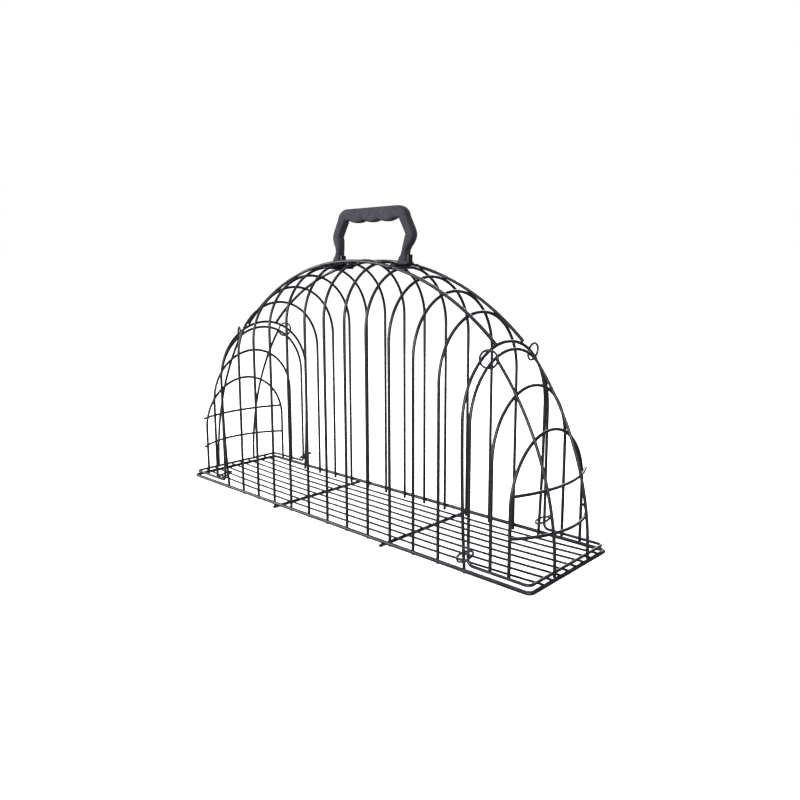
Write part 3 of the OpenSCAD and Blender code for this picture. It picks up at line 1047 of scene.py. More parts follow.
@dataclass
class RingWire:
    """One ring of bent wire: where it lies, its size, and how its ends meet or lap."""

    centre: np.ndarray
    # Unit vectors at zero and ninety degrees
    along: np.ndarray
    aside: np.ndarray
    ring_r: float
    wire_r: float
    # Angles between which the ring is open; it laps where they run backwards
    opening_deg: tuple[float, float]
    # Distance by which its two ends stand out of line, along the ring's axis
    offset_mm: float = 0.0
    # Domed ends: their length in wire radii, then shares of that length and of the wire's radius
    dome_length: float = 0.45
    dome: tuple[tuple[float, float], ...] = ((0.0, 0.25), (0.12, 0.62), (0.4, 0.88))
    around: int = 20
    round_steps: int = 96

    def sweep(self, name: str, material: bpy.types.Material) -> bpy.types.Object:
        """Sweeps the round wire along the ring.

        Args:
            name: The piece's name.
            material: The ring's finish.

        Returns:
            The piece.
        """
        start, finish = self.opening_deg[1], self.opening_deg[0] + 360
        dome_deg = math.degrees(self.wire_r * self.dome_length / self.ring_r)
        even_deg = finish - start - 2 * dome_deg
        stations = [
            *((start + dome_deg * k, share) for k, share in self.dome),
            *(
                (start + dome_deg + even_deg * k / self.round_steps, 1.0)
                for k in range(self.round_steps + 1)
            ),
            *((finish - dome_deg * k, share) for k, share in reversed(self.dome)),
        ]
        axis = np.cross(self.along, self.aside)
        points = []
        for degrees, share in stations:
            a = math.radians(degrees)
            out = math.cos(a) * self.along + math.sin(a) * self.aside
            lean = self.offset_mm * ((degrees - start) / (finish - start) - 0.5)
            middle_point = self.centre + self.ring_r * out + lean * axis
            points += circle(middle_point, share * self.wire_r, out, axis, self.around)
        return new_piece(name, points, tube_faces(len(stations), self.around), material)


# ---- Sub-assemblies ----


def hoop_wire(node: str) -> Wire:
    """A hoop with straight legs, read from its CAD node.

    Args:
        node: The node's name.

    Returns:
        The wire, from the front foot over the crown to the back foot.
    """
    low, high = corners(node)
    radius, x = (high[0] - low[0]) / 2, (high[0] + low[0]) / 2
    half = high[1] - radius
    centre_z = high[2] - radius - half
    points = joined(
        straight((x, -half, low[2]), (x, -half, centre_z)),
        bend((x, 0, centre_z), half, -Y, Z, 0, 180),
        straight((x, half, centre_z), (x, half, low[2])),
    )
    return Wire(points, radius)


@dataclass
class Base:
    """The base frame, the cross wires that it stands on and the floor wires."""

    floor_wires: int = 8
    corner_r: float = 6.0
    # The cross wires are rubbed where they stand, this far out from the middle
    rubbed_y: float = 72.0
    rub_reach_mm: float = 16.0

    def frame_wire(self) -> Wire:
        """The closed wire round the base.

        Returns:
            The wire.
        """
        low, high = corners("base_frame")
        radius = (high[2] - low[2]) / 2
        x, y, z = high[0] - radius, high[1] - radius, (high[2] + low[2]) / 2
        r = self.corner_r
        stretches = []
        for out, ahead, wide, long in ((-Y, X, y, x), (X, Y, x, y), (Y, -X, y, x), (-X, -Y, x, y)):
            centre, half = z * Z + (wide - r) * out, (long - r) * ahead
            stretches.append(straight(centre + r * out - half, centre + r * out + half))
            stretches.append(bend(centre + half, r, out, ahead, 0, 90))
        return Wire(joined(*stretches), radius, closed=True)

    def cross_wire(self, end: End) -> Wire:
        """One of the two wires under the base.

        Args:
            end: The end that it is nearer to.

        Returns:
            The wire.
        """
        low, high = corners(f"cross_wire_{end.word}")
        x, z = (low[0] + high[0]) / 2, (low[2] + high[2]) / 2
        return Wire(straight((x, low[1], z), (x, high[1], z)), z - low[2])

    def floor_wire(self, number: int) -> Wire:
        """A floor wire: flat between the cross wires, rising to lie on both end bars.

        Args:
            number: The wire's number, counted from the front.

        Returns:
            The wire.
        """
        low, high = corners(f"floor_wire_{number}")
        radius = (high[1] - low[1]) / 2
        y, z = (low[1] + high[1]) / 2, low[2] + radius
        flat = middle("cross_wire_right")[0]
        reach, climb = high[0] - flat, high[2] - radius - z
        bend_r = side_bend_radius(reach, climb)
        sweep = math.degrees(math.asin(reach / bend_r))
        points = joined(
            bend((-flat, y, z + bend_r), bend_r, -Z, -X, sweep, 0),
            straight((-flat, y, z), (flat, y, z)),
            bend((flat, y, z + bend_r), bend_r, -Z, X, 0, sweep),
        )
        return Wire(points, radius)

    def wires(self) -> list[Wire]:
        """All wires of the base.

        Returns:
            The frame, the cross wires and the floor wires.
        """
        return [
            self.frame_wire(),
            *(self.cross_wire(end) for end in End),
            *(self.floor_wire(n + 1) for n in range(self.floor_wires)),
        ]

    def dress(self) -> None:
        """Gives the base's wires their finishes."""
        x = middle("cross_wire_right")[0]
        feet = tuple(
            Vector((end.value * x, side.value * self.rubbed_y, 0.0)) for end in End for side in Side
        )
        frame_coat = CoatedWire("base_wire_coat", seed=3, cloud_mm=34.0).build()
        cross_coat = CoatedWire(
            "cross_wire_coat", seed=7, rub_points=feet, rub_reach_mm=self.rub_reach_mm
        ).build()
        # The floor wires get a darker coat and less shine than the other wires; the darker colour
        # is painted shade for the low wires, which take less light near the floor
        floor_coat_with_painted_shade = CoatedWire(
            "floor_wire_coat", seed=5, coat="#0f0d13", thick_coat="#09080b", specular=0.12,
            peel_mm=0.9,
        ).build()
        dress_node("base_frame", frame_coat)
        for end in End:
            dress_node(f"cross_wire_{end.word}", cross_coat)
        for number in range(self.floor_wires):
            dress_node(f"floor_wire_{number + 1}", floor_coat_with_painted_shade)


@dataclass
class Dome:
    """The hoops over the base and the two ridge rails over the hoops."""

    hoops: int = 11
    # The hoops differ a little in coat, by turns
    hoop_coats: int = 3
    ridge_bend_r: float = 316.0
    ridge_overhang: float = 2.5

    def end_hoop(self, end: End) -> Wire:
        """An end hoop, whose legs bend in towards their feet.

        Args:
            end: The end that it stands at.

        Returns:
            The wire.
        """
        low, high = corners(f"end_hoop_{end.word}")
        radius, x = (high[0] - low[0]) / 2, (high[0] + low[0]) / 2
        half = high[1] - radius
        centre_z = high[2] - radius - half
        _, foot_y, foot_z = hoop_wire("body_hoop_01").points[0]
        rail_z = middle("base_frame")[2]
        leg_r = side_bend_radius(centre_z - rail_z, half - abs(foot_y))
        sweep = math.degrees(math.asin((centre_z - foot_z) / leg_r))
        points = joined(
            bend((x, leg_r - half, centre_z), leg_r, -Y, -Z, sweep, 0),
            bend((x, 0, centre_z), half, -Y, Z, 0, 180),
            bend((x, half - leg_r, centre_z), leg_r, Y, -Z, 0, sweep),
        )
        return Wire(points, radius)

    def ridge_rail(self, side: Side) -> Wire:
        """A ridge rail, bent over all the hoops.

        Args:
            side: The side that it lies on.

        Returns:
            The wire.
        """
        low, high = corners(f"ridge_rail_{side.word}")
        radius = (high[1] - low[1]) / 2
        y, centre_z = (low[1] + high[1]) / 2, high[2] - radius - self.ridge_bend_r
        end_x = self.end_hoop(End.RIGHT).points[0][0] + self.ridge_overhang
        half = math.degrees(math.asin(end_x / self.ridge_bend_r))
        return Wire(bend((0, y, centre_z), self.ridge_bend_r, Z, X, -half, half), radius)

    def wires(self) -> list[Wire]:
        """All wires of the dome.

        Returns:
            The body hoops, the end hoops and the ridge rails.
        """
        return [
            *(hoop_wire(f"body_hoop_{n + 1:02d}") for n in range(self.hoops)),
            *(self.end_hoop(end) for end in End),
            *(self.ridge_rail(side) for side in Side),
        ]

    def dress(self, rings: "Rings") -> None:
        """Gives the dome's wires their finishes, rubbed where rings ride on the end hoops.

        Args:
            rings: The rings, whose places give the rubbed spots.
        """
        coats = [
            CoatedWire(f"hoop_wire_coat_{k + 1}", seed=11 + k).build()
            for k in range(self.hoop_coats)
        ]
        for number in range(self.hoops):
            dress_node(f"body_hoop_{number + 1:02d}", coats[number % self.hoop_coats])
        for end in End:
            coat = CoatedWire(
                f"end_hoop_coat_{end.word}", seed=17 + end.value, rub_points=rings.rub_points(end)
            )
            dress_node(f"end_hoop_{end.word}", coat.build())
        rail_coat = CoatedWire("ridge_rail_coat", seed=23, cloud_mm=40.0).build()
        for side in Side:
            dress_node(f"ridge_rail_{side.word}", rail_coat)


@dataclass
class Door:
    """A door: its closed frame wire, two arches, two ribs and two cross bars."""

    end: End
    foot_r: float = 6.0
    corner_r: float = 6.0
    rib_straight_z: float = 14.0
    # A rib ends this share of its own diameter past the middle of the hoop
    rib_end_share: float = 0.21
    bar_overhang: float = 2.0
    bar_fit_rounds: int = 6

    def node(self, part: str) -> str:
        """The name of one of this door's nodes."""
        return f"{self.end.word}_{part}"

    @property
    def body(self) -> str:
        """The name of this door's body."""
        return self.end.door.value

    def reach(self, node: str) -> tuple[float, float]:
        """How far a node's inner face and its outer face are from the cage's middle."""
        near, far = sorted(abs(corner[0]) for corner in corners(node))
        return near, far

    def turned(self, points: np.ndarray) -> np.ndarray:
        """Turns a right-hand door's points into this door's."""
        return points * np.array([self.end.value, 1, 1])

    def frame_wire(self) -> Wire:
        """The closed wire: a hoop whose legs turn outward into a flat U.

        Returns:
            The wire.
        """
        node = self.node("door_frame")
        low, high = corners(node)
        radius = self.rib(Side.FRONT).radius
        half = high[1] - radius
        inner, outer = self.reach(node)
        near, far = inner + radius, outer - radius
        z, centre_z = low[2] + radius, high[2] - radius - half
        f, c = self.foot_r, self.corner_r
        one_side = joined(
            straight((near, -half, centre_z), (near, -half, z + f)),
            bend((near + f, -half, z + f), f, -X, -Z, 0, 90),
            straight((near + f, -half, z), (far - c, -half, z)),
            bend((far - c, -half + c, z), c, -Y, X, 0, 90),
            straight((far, -half + c, z), (far, 0, z)),
        )
        other_side = one_side[::-1] * np.array([1, -1, 1])
        crown = bend((near, 0, centre_z), half, Y, Z, 0, 180)
        return Wire(self.turned(joined(one_side, other_side, crown)), radius, closed=True)

    def rib(self, side: Side) -> Wire:
        """A rib, which stands on the end bar and bends over both arches to the hoop.

        Args:
            side: The side that it stands on.

        Returns:
            The wire.
        """
        node, hoop = self.node(f"{side.word}_rib"), self.node("door_frame")
        low, high = corners(node)
        radius, y = (high[1] - low[1]) / 2, (high[1] + low[1]) / 2
        foot_x = self.reach(node)[1] - radius
        hoop_x, hoop_high = self.reach(hoop)[0] + radius, corners(hoop)[1]
        hoop_r = hoop_high[1] - radius
        hoop_centre_z = hoop_high[2] - radius - hoop_r
        climb = hoop_centre_z + math.sqrt(hoop_r ** 2 - y ** 2) - self.rib_straight_z
        bend_r = side_bend_radius(climb, foot_x - hoop_x - 2 * radius)
        sweep = math.asin(climb / bend_r) + 2 * radius * self.rib_end_share / bend_r
        points = joined(
            straight((foot_x, y, low[2]), (foot_x, y, self.rib_straight_z)),
            bend((foot_x - bend_r, y, self.rib_straight_z), bend_r, X, Z, 0, math.degrees(sweep)),
        )
        return Wire(self.turned(points), radius)

    def bar(self, part: str) -> Wire:
        """A cross bar, woven outside the small arch and inside the ribs.

        Args:
            part: The bar's name within the door.

        Returns:
            The wire.
        """
        node = self.node(part)
        low, high = corners(node)
        radius, z = (high[2] - low[2]) / 2, (high[2] + low[2]) / 2
        _, arch_y, _ = hoop_wire(self.node("small_arch")).points[0]
        half_l = abs(arch_y) + self.bar_overhang
        # The bar's ends are cut square, so their slant takes a little of the depth of its box
        depth = high[0] - low[0]
        bend_r = side_bend_radius(half_l, depth - 2 * radius)
        for _ in range(self.bar_fit_rounds):
            slant = math.sqrt(1 - (half_l / bend_r) ** 2)
            bend_r = side_bend_radius(half_l, depth - radius * (1 + slant))
        half = math.degrees(math.asin(half_l / bend_r))
        centre_x = self.reach(node)[1] - radius - bend_r
        points = bend((centre_x, 0, z), bend_r, X, Y, -half, half)
        return Wire(self.turned(points), radius)

    def wires(self) -> list[Wire]:
        """All wires of the door.

        Returns:
            The frame, the arches, the ribs and the bars.
        """
        return [
            self.frame_wire(),
            *(hoop_wire(self.node(part)) for part in ("large_arch", "small_arch")),
            *(self.rib(side) for side in Side),
            *(self.bar(part) for part in ("upper_bar", "lower_bar")),
        ]

    def dress(self, rings: "Rings") -> None:
        """Gives the door's wires their finishes, rubbed where rings ride on its frame.

        Args:
            rings: The rings, whose places give the rubbed spots.
        """
        frame_coat = CoatedWire(
            f"{self.body}_frame_coat", seed=31 + self.end.value,
            rub_points=rings.rub_points(self.end),
        ).build()
        arch_coat = CoatedWire(f"{self.body}_arch_coat", seed=37 + self.end.value).build()
        bar_coat = CoatedWire(
            f"{self.body}_bar_coat", seed=41 + self.end.value, peel_mm=0.9
        ).build()
        dress_node(self.node("door_frame"), frame_coat)
        for part in ("large_arch", "small_arch", "front_rib", "back_rib"):
            dress_node(self.node(part), arch_coat)
        for part in ("upper_bar", "lower_bar"):
            dress_node(self.node(part), bar_coat)


@dataclass
class Rings:
    """The hinge rings that the doors hang from and the lock rings that hold them shut."""

    joint_gap_mm: float = 0.35
    # The lock rings' ends lie side by side over this length, almost touching
    lap_mm: float = 4.5
    lap_gap_mm: float = 0.1
    # A lock ring hangs loosely and aslant, close to the hoop's leg, with this side up
    high_side: tuple[float, float, float] = (0.72, 0.694, 0.0)
    lean_in_mm: float = 2.0
    # The coat gathers on the rings, and a bent ring springs a little wider
    coat_extra_mm: float = 0.2
    spring_mm: float = 0.68
    peel_mm: float = 0.8
    hinge_rub_reach_mm: float = 5.0
    lock_rub_reach_mm: float = 7.0
    # Heights between which the lock rings have rubbed the legs
    rubbed_z: tuple[float, float] = (16.0, 30.0)

    def hinge_sizes(self, node: str) -> tuple[np.ndarray, float, float]:
        """A hinge ring's centre, ring radius and wire radius, from its node.

        Args:
            node: The node's name.

        Returns:
            The centre, the ring's radius and the wire's radius.
        """
        low, high = corners(node)
        wire_r = (high[1] - low[1]) / 2
        return middle(node), (high[2] - low[2]) / 2 - wire_r, wire_r

    def lock_sizes(self, node: str, end: End) -> tuple[np.ndarray, float, float]:
        """A lock ring's centre, ring radius and wire radius, from its node.

        Args:
            node: The node's name.
            end: The end that it is at.

        Returns:
            The centre, the ring's radius and the wire's radius.
        """
        low, high = corners(node)
        wire_r = (high[2] - low[2]) / 2
        ring_r = (high[1] - low[1]) / 2 - wire_r
        # The ring is open on its outer side, so only its inner face tells where its centre is
        inner_x = low[0] if end is End.RIGHT else high[0]
        _, y, z = middle(node)
        return np.array([inner_x + end.value * (ring_r + wire_r), y, z]), ring_r, wire_r

    def rub_points(self, end: End) -> tuple[Vector, ...]:
        """Places where the rings of one end rub the wires in them.

        Args:
            end: The end of the cage.

        Returns:
            The places in millimetres.
        """
        points = []
        for side in Side:
            points.append(Vector(middle(f"hinge_ring_{end.word}_{side.word}")))
            centre, _, _ = self.lock_sizes(f"lock_ring_{end.word}_{side.word}", end)
            points += [Vector((centre[0], centre[1], z)) for z in self.rubbed_z]
        return tuple(points)

    def build(self) -> None:
        """Builds all rings in place of their CAD nodes."""
        for end in End:
            for side in Side:
                self.build_hinge_ring(end, side)
                self.build_lock_ring(end, side)

    def hinge_hang(self, side: Side) -> tuple[float, float, tuple[float, float, float]]:
        """How far a hinge ring has slipped and turned on the two wires that it holds.

        Args:
            side: The side that it is on.

        Returns:
            Its turn and its tilt in degrees, and its shift outwards, aside and up in millimetres.
        """
        if side is Side.BACK:
            return 28.0, 16.0, (1.5, 4.0, 0.0)
        return 24.0, 0.0, (1.5, 3.0, -1.0)

    def build_hinge_ring(self, end: End, side: Side) -> None:
        """Builds one hinge ring, bent shut with its ends butted at the bottom.

        Args:
            end: The end that it is at.
            side: The side that it is on.
        """
        node = f"hinge_ring_{end.word}_{side.word}"
        centre, ring_r, wire_r = self.hinge_sizes(node)
        ring_r, wire_r = ring_r + self.spring_mm, wire_r + self.coat_extra_mm
        turn_deg, tilt_deg, shift = self.hinge_hang(side)
        centre = centre + np.array([end.value * shift[0], side.value * shift[1], shift[2]])
        turn, tilt = side.value * math.radians(turn_deg), math.radians(tilt_deg)
        level = np.array([end.value * math.cos(turn), -math.sin(turn), 0.0])
        flat_axis = np.array([end.value * math.sin(turn), math.cos(turn), 0.0])
        down = np.cross(math.cos(tilt) * flat_axis - math.sin(tilt) * Z, level)
        down = down * -math.copysign(1.0, down[2])
        joint_deg = math.degrees(self.joint_gap_mm / ring_r)
        coat = CoatedWire(
            f"{node}_coat", seed=51 + 3 * end.value + side.value, peel_mm=self.peel_mm,
            rub_points=(Vector(centre + ring_r * Z), Vector(centre - ring_r * Z)),
            rub_reach_mm=self.hinge_rub_reach_mm,
        )
        ring = RingWire(centre, down, level, ring_r, wire_r, (-joint_deg / 2, joint_deg / 2))
        piece = ring.sweep(f"{node}_wire", coat.build())
        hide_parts(node)
        seat(piece, Body.CAGE.value)

    def lock_tilt_deg(self, end: End, side: Side) -> float:
        """The slant at which a lock ring hangs; each hangs a little differently."""
        return 22.0 if (end, side) == (End.RIGHT, Side.BACK) else 24.0

    def build_lock_ring(self, end: End, side: Side) -> None:
        """Builds one lock ring, bent shut with lapped ends, as it hangs round the two legs.

        Args:
            end: The end that it is at.
            side: The side that it is on.
        """
        node = f"lock_ring_{end.word}_{side.word}"
        centre, ring_r, wire_r = self.lock_sizes(node, end)
        wire_r += self.coat_extra_mm
        centre = centre - self.lean_in_mm * end.value * X - self.coat_extra_mm * side.value * Y
        tilt = math.radians(self.lock_tilt_deg(end, side))
        across = np.array(self.high_side)
        upward = side.value * (math.cos(tilt) * across + math.sin(tilt) * Z)
        lap_deg = math.degrees(self.lap_mm / ring_r)
        coat = CoatedWire(
            f"{node}_coat", seed=61 + 3 * end.value + side.value, peel_mm=self.peel_mm,
            rub_points=(Vector(centre - ring_r * end.value * X),),
            rub_reach_mm=self.lock_rub_reach_mm,
        )
        ring = RingWire(
            centre, upward, np.cross(Z, across), ring_r, wire_r,
            (lap_deg / 2, -lap_deg / 2), 2 * wire_r + self.lap_gap_mm,
        )
        piece = ring.sweep(f"{node}_wire", coat.build())
        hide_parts(node)
        seat(piece, node)


@dataclass
class Handle:
    """The moulded handle: a finger grip between two cranked legs with spread feet."""

    depth: float = 12.0
    grip_h: float = 15.0
    grip_l: float = 101.5
    ankle_span: float = 116.0
    knee_span: float = 125.5
    knee_h: float = 33.5
    foot_shift: float = -5.5
    ankle_shift: float = -2.8
    foot_half_w: float = 6.8
    plate_rim: float = 0.8
    swell_pitch: float = 25.5
    swell_depth: float = 3.0
    swell_floor: float = 4.0
    shoulder_drop: float = 2.6
    shoulder_round: float = 7.0
    grip_even_in: float = 20.0
    corner_r: float = 2.4
    # A corner is never rounder than this share of the inner half thickness
    corner_share: float = 0.6
    corner_steps: int = 6
    face_steps: int = 7
    crown: float = 0.25
    parting_w: float = 0.5
    parting_h: float = 0.14
    step: float = 0.8
    sharp_above_deg: float = 50.0

    def outline(self, side: int, grip_z: float) -> np.ndarray:
        """Centreline and half thicknesses of one half, from its foot to its shoulder.

        Args:
            side: 1 for the right half and -1 for the left.
            grip_z: Height of the grip's centreline.

        Returns:
            Rows of x, z, outer half and inner half.
        """
        ankle, knee, grip = self.ankle_span / 2, self.knee_span / 2, self.grip_l / 2
        lift, foot, half = grip_z - self.knee_h, self.foot_half_w, self.grip_h / 2
        aside, lean = self.foot_shift, self.ankle_shift
        return np.array([
            # The foot and the thin ankle
            (side * ankle + aside, 0, foot, foot),
            (side * ankle + aside, self.knee_h * 0.09, foot - 0.2, foot - 0.2),
            (side * ankle + (aside + lean) / 2, self.knee_h * 0.24, 4.4, 4.4),
            (side * ankle + lean, self.knee_h * 0.42, 3.3, 3.3),
            # The leg, out to the knee
            (side * (ankle + 1.2) + lean * 0.6, self.knee_h * 0.6, 4.6, 4.1),
            (side * (knee - 1) + lean * 0.15, self.knee_h * 0.82, 6.2, 5.6),
            (side * knee, self.knee_h, 6.2, 5.3),
            # The leg from the knee in to the grip
            (side * (knee * 0.6 + grip * 0.4), self.knee_h + lift * 0.38, 6.3, 5.5),
            (side * (knee * 0.25 + grip * 0.75), self.knee_h + lift * 0.68, 6.4, 5.7),
            (side * grip, grip_z - self.shoulder_drop, 6.8, 6.0),
            (side * (grip - self.shoulder_round), grip_z, half, half),
            (side * (grip - self.grip_even_in), grip_z, half, half),
        ])

    def centreline(self, grip_z: float) -> np.ndarray:
        """A smooth curve through the whole outline, foot to foot.

        Args:
            grip_z: Height of the grip's centreline.

        Returns:
            Rows of x, z, outer half and inner half, about a step apart.
        """
        half = self.grip_h / 2
        rows = np.concatenate([
            self.outline(-1, grip_z), [(0, grip_z, half, half)], self.outline(1, grip_z)[::-1]
        ])
        curve = []
        for i in range(len(rows) - 1):
            a, b = rows[max(i - 1, 0)], rows[i]
            c, d = rows[i + 1], rows[min(i + 2, len(rows) - 1)]
            count = math.ceil(np.linalg.norm((c - b)[:2]) / self.step)
            for t in (k / count for k in range(count)):
                curve.append(
                    (2 * b + (c - a) * t + (2 * a - 5 * b + 4 * c - d) * t * t
                     + (3 * b - a - 3 * c + d) * t ** 3) / 2
                )
        curve.append(rows[-1])
        return np.array(curve)

    def swell(self, x: float, z: float, grip_z: float) -> float:
        """Depth of the finger swells under the grip at a place along it.

        Args:
            x: The place along the grip, from its middle.
            z: The height of the centreline there.
            grip_z: Height of the grip's centreline.

        Returns:
            The depth.
        """
        if abs(x) > 1.5 * self.swell_pitch or z < grip_z - self.swell_floor:
            return 0.0
        radius = side_bend_radius(self.swell_pitch / 2, self.swell_depth)
        off = x - self.swell_pitch * round(x / self.swell_pitch)
        return math.sqrt(radius ** 2 - off ** 2) - (radius - self.swell_depth)

    def section(self, out_half: float, in_half: float) -> list[tuple[float, float]]:
        """One cross-section: a rounded rectangle with crowned faces and a parting line.

        Args:
            out_half: Half thickness on the outer side.
            in_half: Half thickness on the inner side.

        Returns:
            Points as distances outward and across, once round.
        """
        deep = self.depth / 2 - self.crown
        r = min(self.corner_r, in_half * self.corner_share)
        outer, inner = out_half - self.parting_h, in_half - self.parting_h

        def corner(far: float, across: float, start_deg: int) -> list[tuple[float, float]]:
            """The points round a corner.

            Args:
                far: How far outward its centre is.
                across: How far across its centre is.
                start_deg: The angle at which it starts.

            Returns:
                The points.
            """
            angles = [
                math.radians(start_deg + 90 * k / self.corner_steps)
                for k in range(self.corner_steps + 1)
            ]
            return [(far + r * math.cos(a), across + r * math.sin(a)) for a in angles]

        def face(sign: int) -> list[tuple[float, float]]:
            """The points over one crowned face.

            Args:
                sign: 1 for the back face and -1 for the front.

            Returns:
                The points.
            """
            start, finish = (out_half - r, r - in_half)[::sign]
            shares = [k / self.face_steps for k in range(1, self.face_steps)]
            return [
                (start + (finish - start) * t, sign * (deep + self.crown * math.sin(math.pi * t)))
                for t in shares
            ]

        def edge(sign: int, flat: float) -> list[tuple[float, float]]:
            """The points across one edge, with the ridge of the parting line in its middle.

            Args:
                sign: 1 for the outer edge and -1 for the inner.
                flat: How far out the edge is beside the ridge.

            Returns:
                The points.
            """
            ridge, w = flat + self.parting_h, self.parting_w / 2
            rise = ((-2, flat), (-1, flat), (-0.45, ridge), (0.45, ridge), (1, flat), (2, flat))
            return [(sign * u, sign * v * w) for v, u in rise]

        return [
            *edge(1, outer), *corner(outer - r, deep - r, 0),
            *face(1), *corner(r - inner, deep - r, 90),
            *edge(-1, inner), *corner(r - inner, r - deep, 180),
            *face(-1), *corner(outer - r, r - deep, 270),
        ]

    def build(self) -> None:
        """Builds the handle in place of its CAD node."""
        low, high = corners("handle")
        centre_x, height = self.middle_x(), high[2] - low[2]
        grip_z = height - self.grip_h / 2
        curve = self.centreline(grip_z)
        rings = []
        for i, (x, z, out_half, in_half) in enumerate(curve):
            along = (curve[min(i + 1, len(curve) - 1)] - curve[max(i - 1, 0)])[:2]
            if i in (0, len(curve) - 1):
                along[0] = 0.0
            outward = np.array([-along[1], along[0]]) / np.linalg.norm(along)
            if outward[1] > LEVEL:
                out_half = min(out_half, (height - z) / outward[1])
            rings.append([
                (centre_x + x + outward[0] * u, v, low[2] + z + outward[1] * u)
                for u, v in self.section(out_half, in_half + self.swell(x, z, grip_z))
            ])
        # Fingers close just under the swells
        grips = tuple(
            Vector((centre_x + k * self.swell_pitch, 0, low[2] + height - self.grip_h - 1))
            for k in (-1, 0, 1)
        )
        finish = MouldedPolypropylene("handle_polypropylene", seed=71, grip_points=grips)
        piece = new_piece(
            "handle_moulding", [point for ring in rings for point in ring],
            tube_faces(len(rings), len(rings[0])), finish.build(), self.sharp_above_deg,
        )
        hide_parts("handle")
        seat(piece, Body.CAGE.value)

    def middle_x(self) -> float:
        """The x of the handle's middle; its feet stand foot_shift aside, on the clips.

        Returns:
            The x in millimetres.
        """
        plate_x = sum(corners(f"handle_clip_{end.word}")[0][0] for end in End) / 2
        return plate_x + self.plate_rim + self.foot_half_w - self.foot_shift


@dataclass
class Clips:
    """The two moulded clips that grip the ridge rails and carry the handle's feet."""

    edge_r: float = 0.45
    edge_segments: int = 3
    edge_above_deg: float = 40.0
    # The solids' flat faces come in triangles, which turn by less than this
    flat_deg: float = 0.6

    def dress(self) -> None:
        """Gives the clips rounded edges and their finish."""
        for end in End:
            node = f"handle_clip_{end.word}"
            finish = MouldedPolypropylene(
                f"{node}_polypropylene", seed=81 + end.value, colour="#151417", flow="#111013",
                polished="#0f0e11", scratch="#36343a", roughness=(0.36, 0.5),
            )
            dress_node(node, finish.build())
            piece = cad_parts[node]
            planar = piece.modifiers.new("flat faces", "DECIMATE")
            planar.decimate_type = "DISSOLVE"
            planar.angle_limit = math.radians(self.flat_deg)
            bevel = piece.modifiers.new("moulded edges", "BEVEL")
            bevel.width = self.edge_r * MM
            bevel.segments = self.edge_segments
            bevel.limit_method = "ANGLE"
            bevel.angle_limit = math.radians(self.edge_above_deg)
            bevel.harden_normals = False
            LOG.info("%s: edges rounded by %.2f mm", node, self.edge_r)


# ---- Stage ----


@dataclass(frozen=True)
class SoftBox:
    """A square soft light: its place and width in millimetres, and its power in watts."""

    name: str
    place: tuple[float, float, float]
    width: float
    power: float


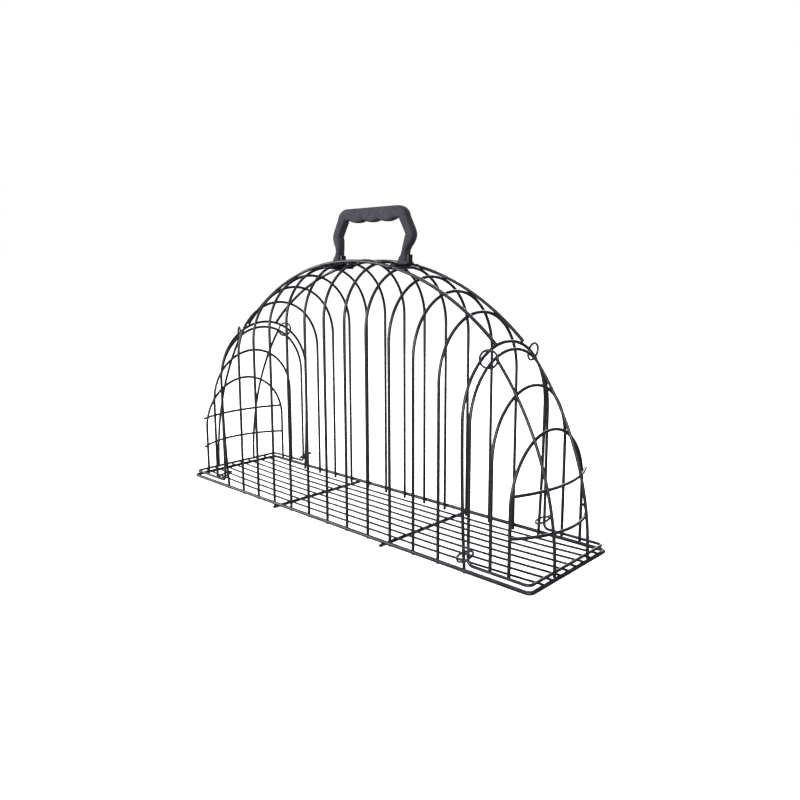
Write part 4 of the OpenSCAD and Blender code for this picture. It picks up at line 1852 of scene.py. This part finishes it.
@dataclass
class Stage:
    """The pale floor, the soft light and the camera."""

    floor_half: float = 40000.0
    # Strength of the surroundings' light on the object; they are white where they are seen
    world_dim: float = 0.25
    # One broad key light makes the floor even
    key_place: tuple[float, float, float] = (-500, -700, 1500)
    key_strength: float = 1.3
    key_angle_deg: float = 90.0
    boxes: tuple[SoftBox, ...] = (
        SoftBox("top_box", (0, -300, 1400), 700.0, 7.0),
        SoftBox("left_box", (-1200, -1000, 600), 900.0, 40.0),
        SoftBox("front_box", (1100, -1300, 600), 900.0, 52.0),
        SoftBox("back_box", (-500, 1600, 900), 900.0, 24.0),
    )
    # The middle of the object, at which all lamps are aimed
    target: tuple[float, float, float] = (0.0, 0.0, 150.0)
    # Camera: place, turn from looking along +Y, fall below the horizon, roll, lens and shift
    eye: tuple[float, float, float] = (658.58, -641.40, 319.11)
    turn_deg: float = 43.838
    fall_deg: float = 9.183
    roll_deg: float = 0.285
    lens: float = 32.576
    sensor_width: float = 36.0
    shift: tuple[float, float] = (0.0114, -0.0206)
    # The nearest and the furthest that it sees, in metres
    sight: tuple[float, float] = (0.02, 200.0)

    def build_floor(self) -> None:
        """Builds the floor as a wide sheet that is not part of the object."""
        h = self.floor_half
        sheet = [(-h, -h, 0), (h, -h, 0), (h, h, 0), (-h, h, 0)]
        new_piece("floor", sheet, [(0, 1, 2, 3)], StagePaper().build())

    def build_world(self) -> None:
        """Builds the surroundings: white where they are seen, dim where they light the object."""
        world = bpy.data.worlds.new("studio")
        world.use_nodes = True
        bpy.context.scene.world = world
        tree = world.node_tree
        seen = add_node(tree, "ShaderNodeLightPath").outputs["Is Camera Ray"]
        strength = add_node(
            tree, "ShaderNodeMath", {"operation": "MULTIPLY_ADD"},
            {1: 1.0 - self.world_dim, 2: self.world_dim}, {0: seen},
        )
        background = tree.nodes["Background"]
        background.inputs["Color"].default_value = linear("#ffffff")
        tree.links.new(strength.outputs["Value"], background.inputs["Strength"])

    def add_lamp(self, light: bpy.types.Light, place: Sequence[float]) -> None:
        """Puts a lamp in the scene, aimed at the middle of the object.

        Args:
            light: The light that it gives.
            place: Its place in millimetres.
        """
        lamp = bpy.data.objects.new(light.name, light)
        lamp.location = Vector(place) * MM
        aim = Vector(self.target) * MM - lamp.location
        lamp.rotation_euler = aim.to_track_quat("-Z", "Y").to_euler()
        bpy.context.scene.collection.objects.link(lamp)

    def build_light(self) -> None:
        """Builds the key light and the soft boxes."""
        key = bpy.data.lights.new("key", "SUN")
        key.energy, key.angle = self.key_strength, math.radians(self.key_angle_deg)
        self.add_lamp(key, self.key_place)
        for box in self.boxes:
            light = bpy.data.lights.new(box.name, "AREA")
            light.shape, light.size, light.energy = "SQUARE", box.width * MM, box.power
            self.add_lamp(light, box.place)

    def build_camera(self) -> None:
        """Builds the camera and makes it the scene's own."""
        data = bpy.data.cameras.new("camera")
        data.lens, data.sensor_width = self.lens, self.sensor_width
        data.shift_x, data.shift_y = self.shift
        data.clip_start, data.clip_end = self.sight
        camera = bpy.data.objects.new("camera", data)
        turn = (
            Matrix.Rotation(math.radians(self.turn_deg), 4, "Z")
            @ Matrix.Rotation(math.radians(90 - self.fall_deg), 4, "X")
            @ Matrix.Rotation(math.radians(-self.roll_deg), 4, "Z")
        )
        camera.matrix_world = Matrix.Translation(Vector(self.eye) * MM) @ turn
        bpy.context.scene.collection.objects.link(camera)
        bpy.context.scene.camera = camera

    def build(self) -> None:
        """Builds everything that is not part of the object."""
        self.build_floor()
        self.build_world()
        self.build_light()
        self.build_camera()
        bpy.context.scene.view_settings.view_transform = "Standard"


def main() -> None:
    """Builds the looks in order."""
    logging.basicConfig(level=logging.INFO, format="%(name)s: %(message)s", stream=sys.stdout)
    Stage().build()
    base, dome, rings = Base(), Dome(), Rings()
    doors = [Door(end) for end in End]
    base.dress()
    dome.dress(rings)
    for door in doors:
        door.dress(rings)
    cage_wires = base.wires() + dome.wires()
    WeldFillets("cage_welds", welds_among(cage_wires), seed=101).build(Body.CAGE.value)
    CoatBeads("cage_wire_ends", cage_wires, seed=103).build(Body.CAGE.value)
    for door in doors:
        wires = door.wires()
        WeldFillets(f"{door.body}_welds", welds_among(wires), seed=107).build(door.body)
        CoatBeads(f"{door.body}_wire_ends", wires, seed=109).build(door.body)
    rings.build()
    Handle().build()
    Clips().dress()


if __name__ == "__main__":
    main()
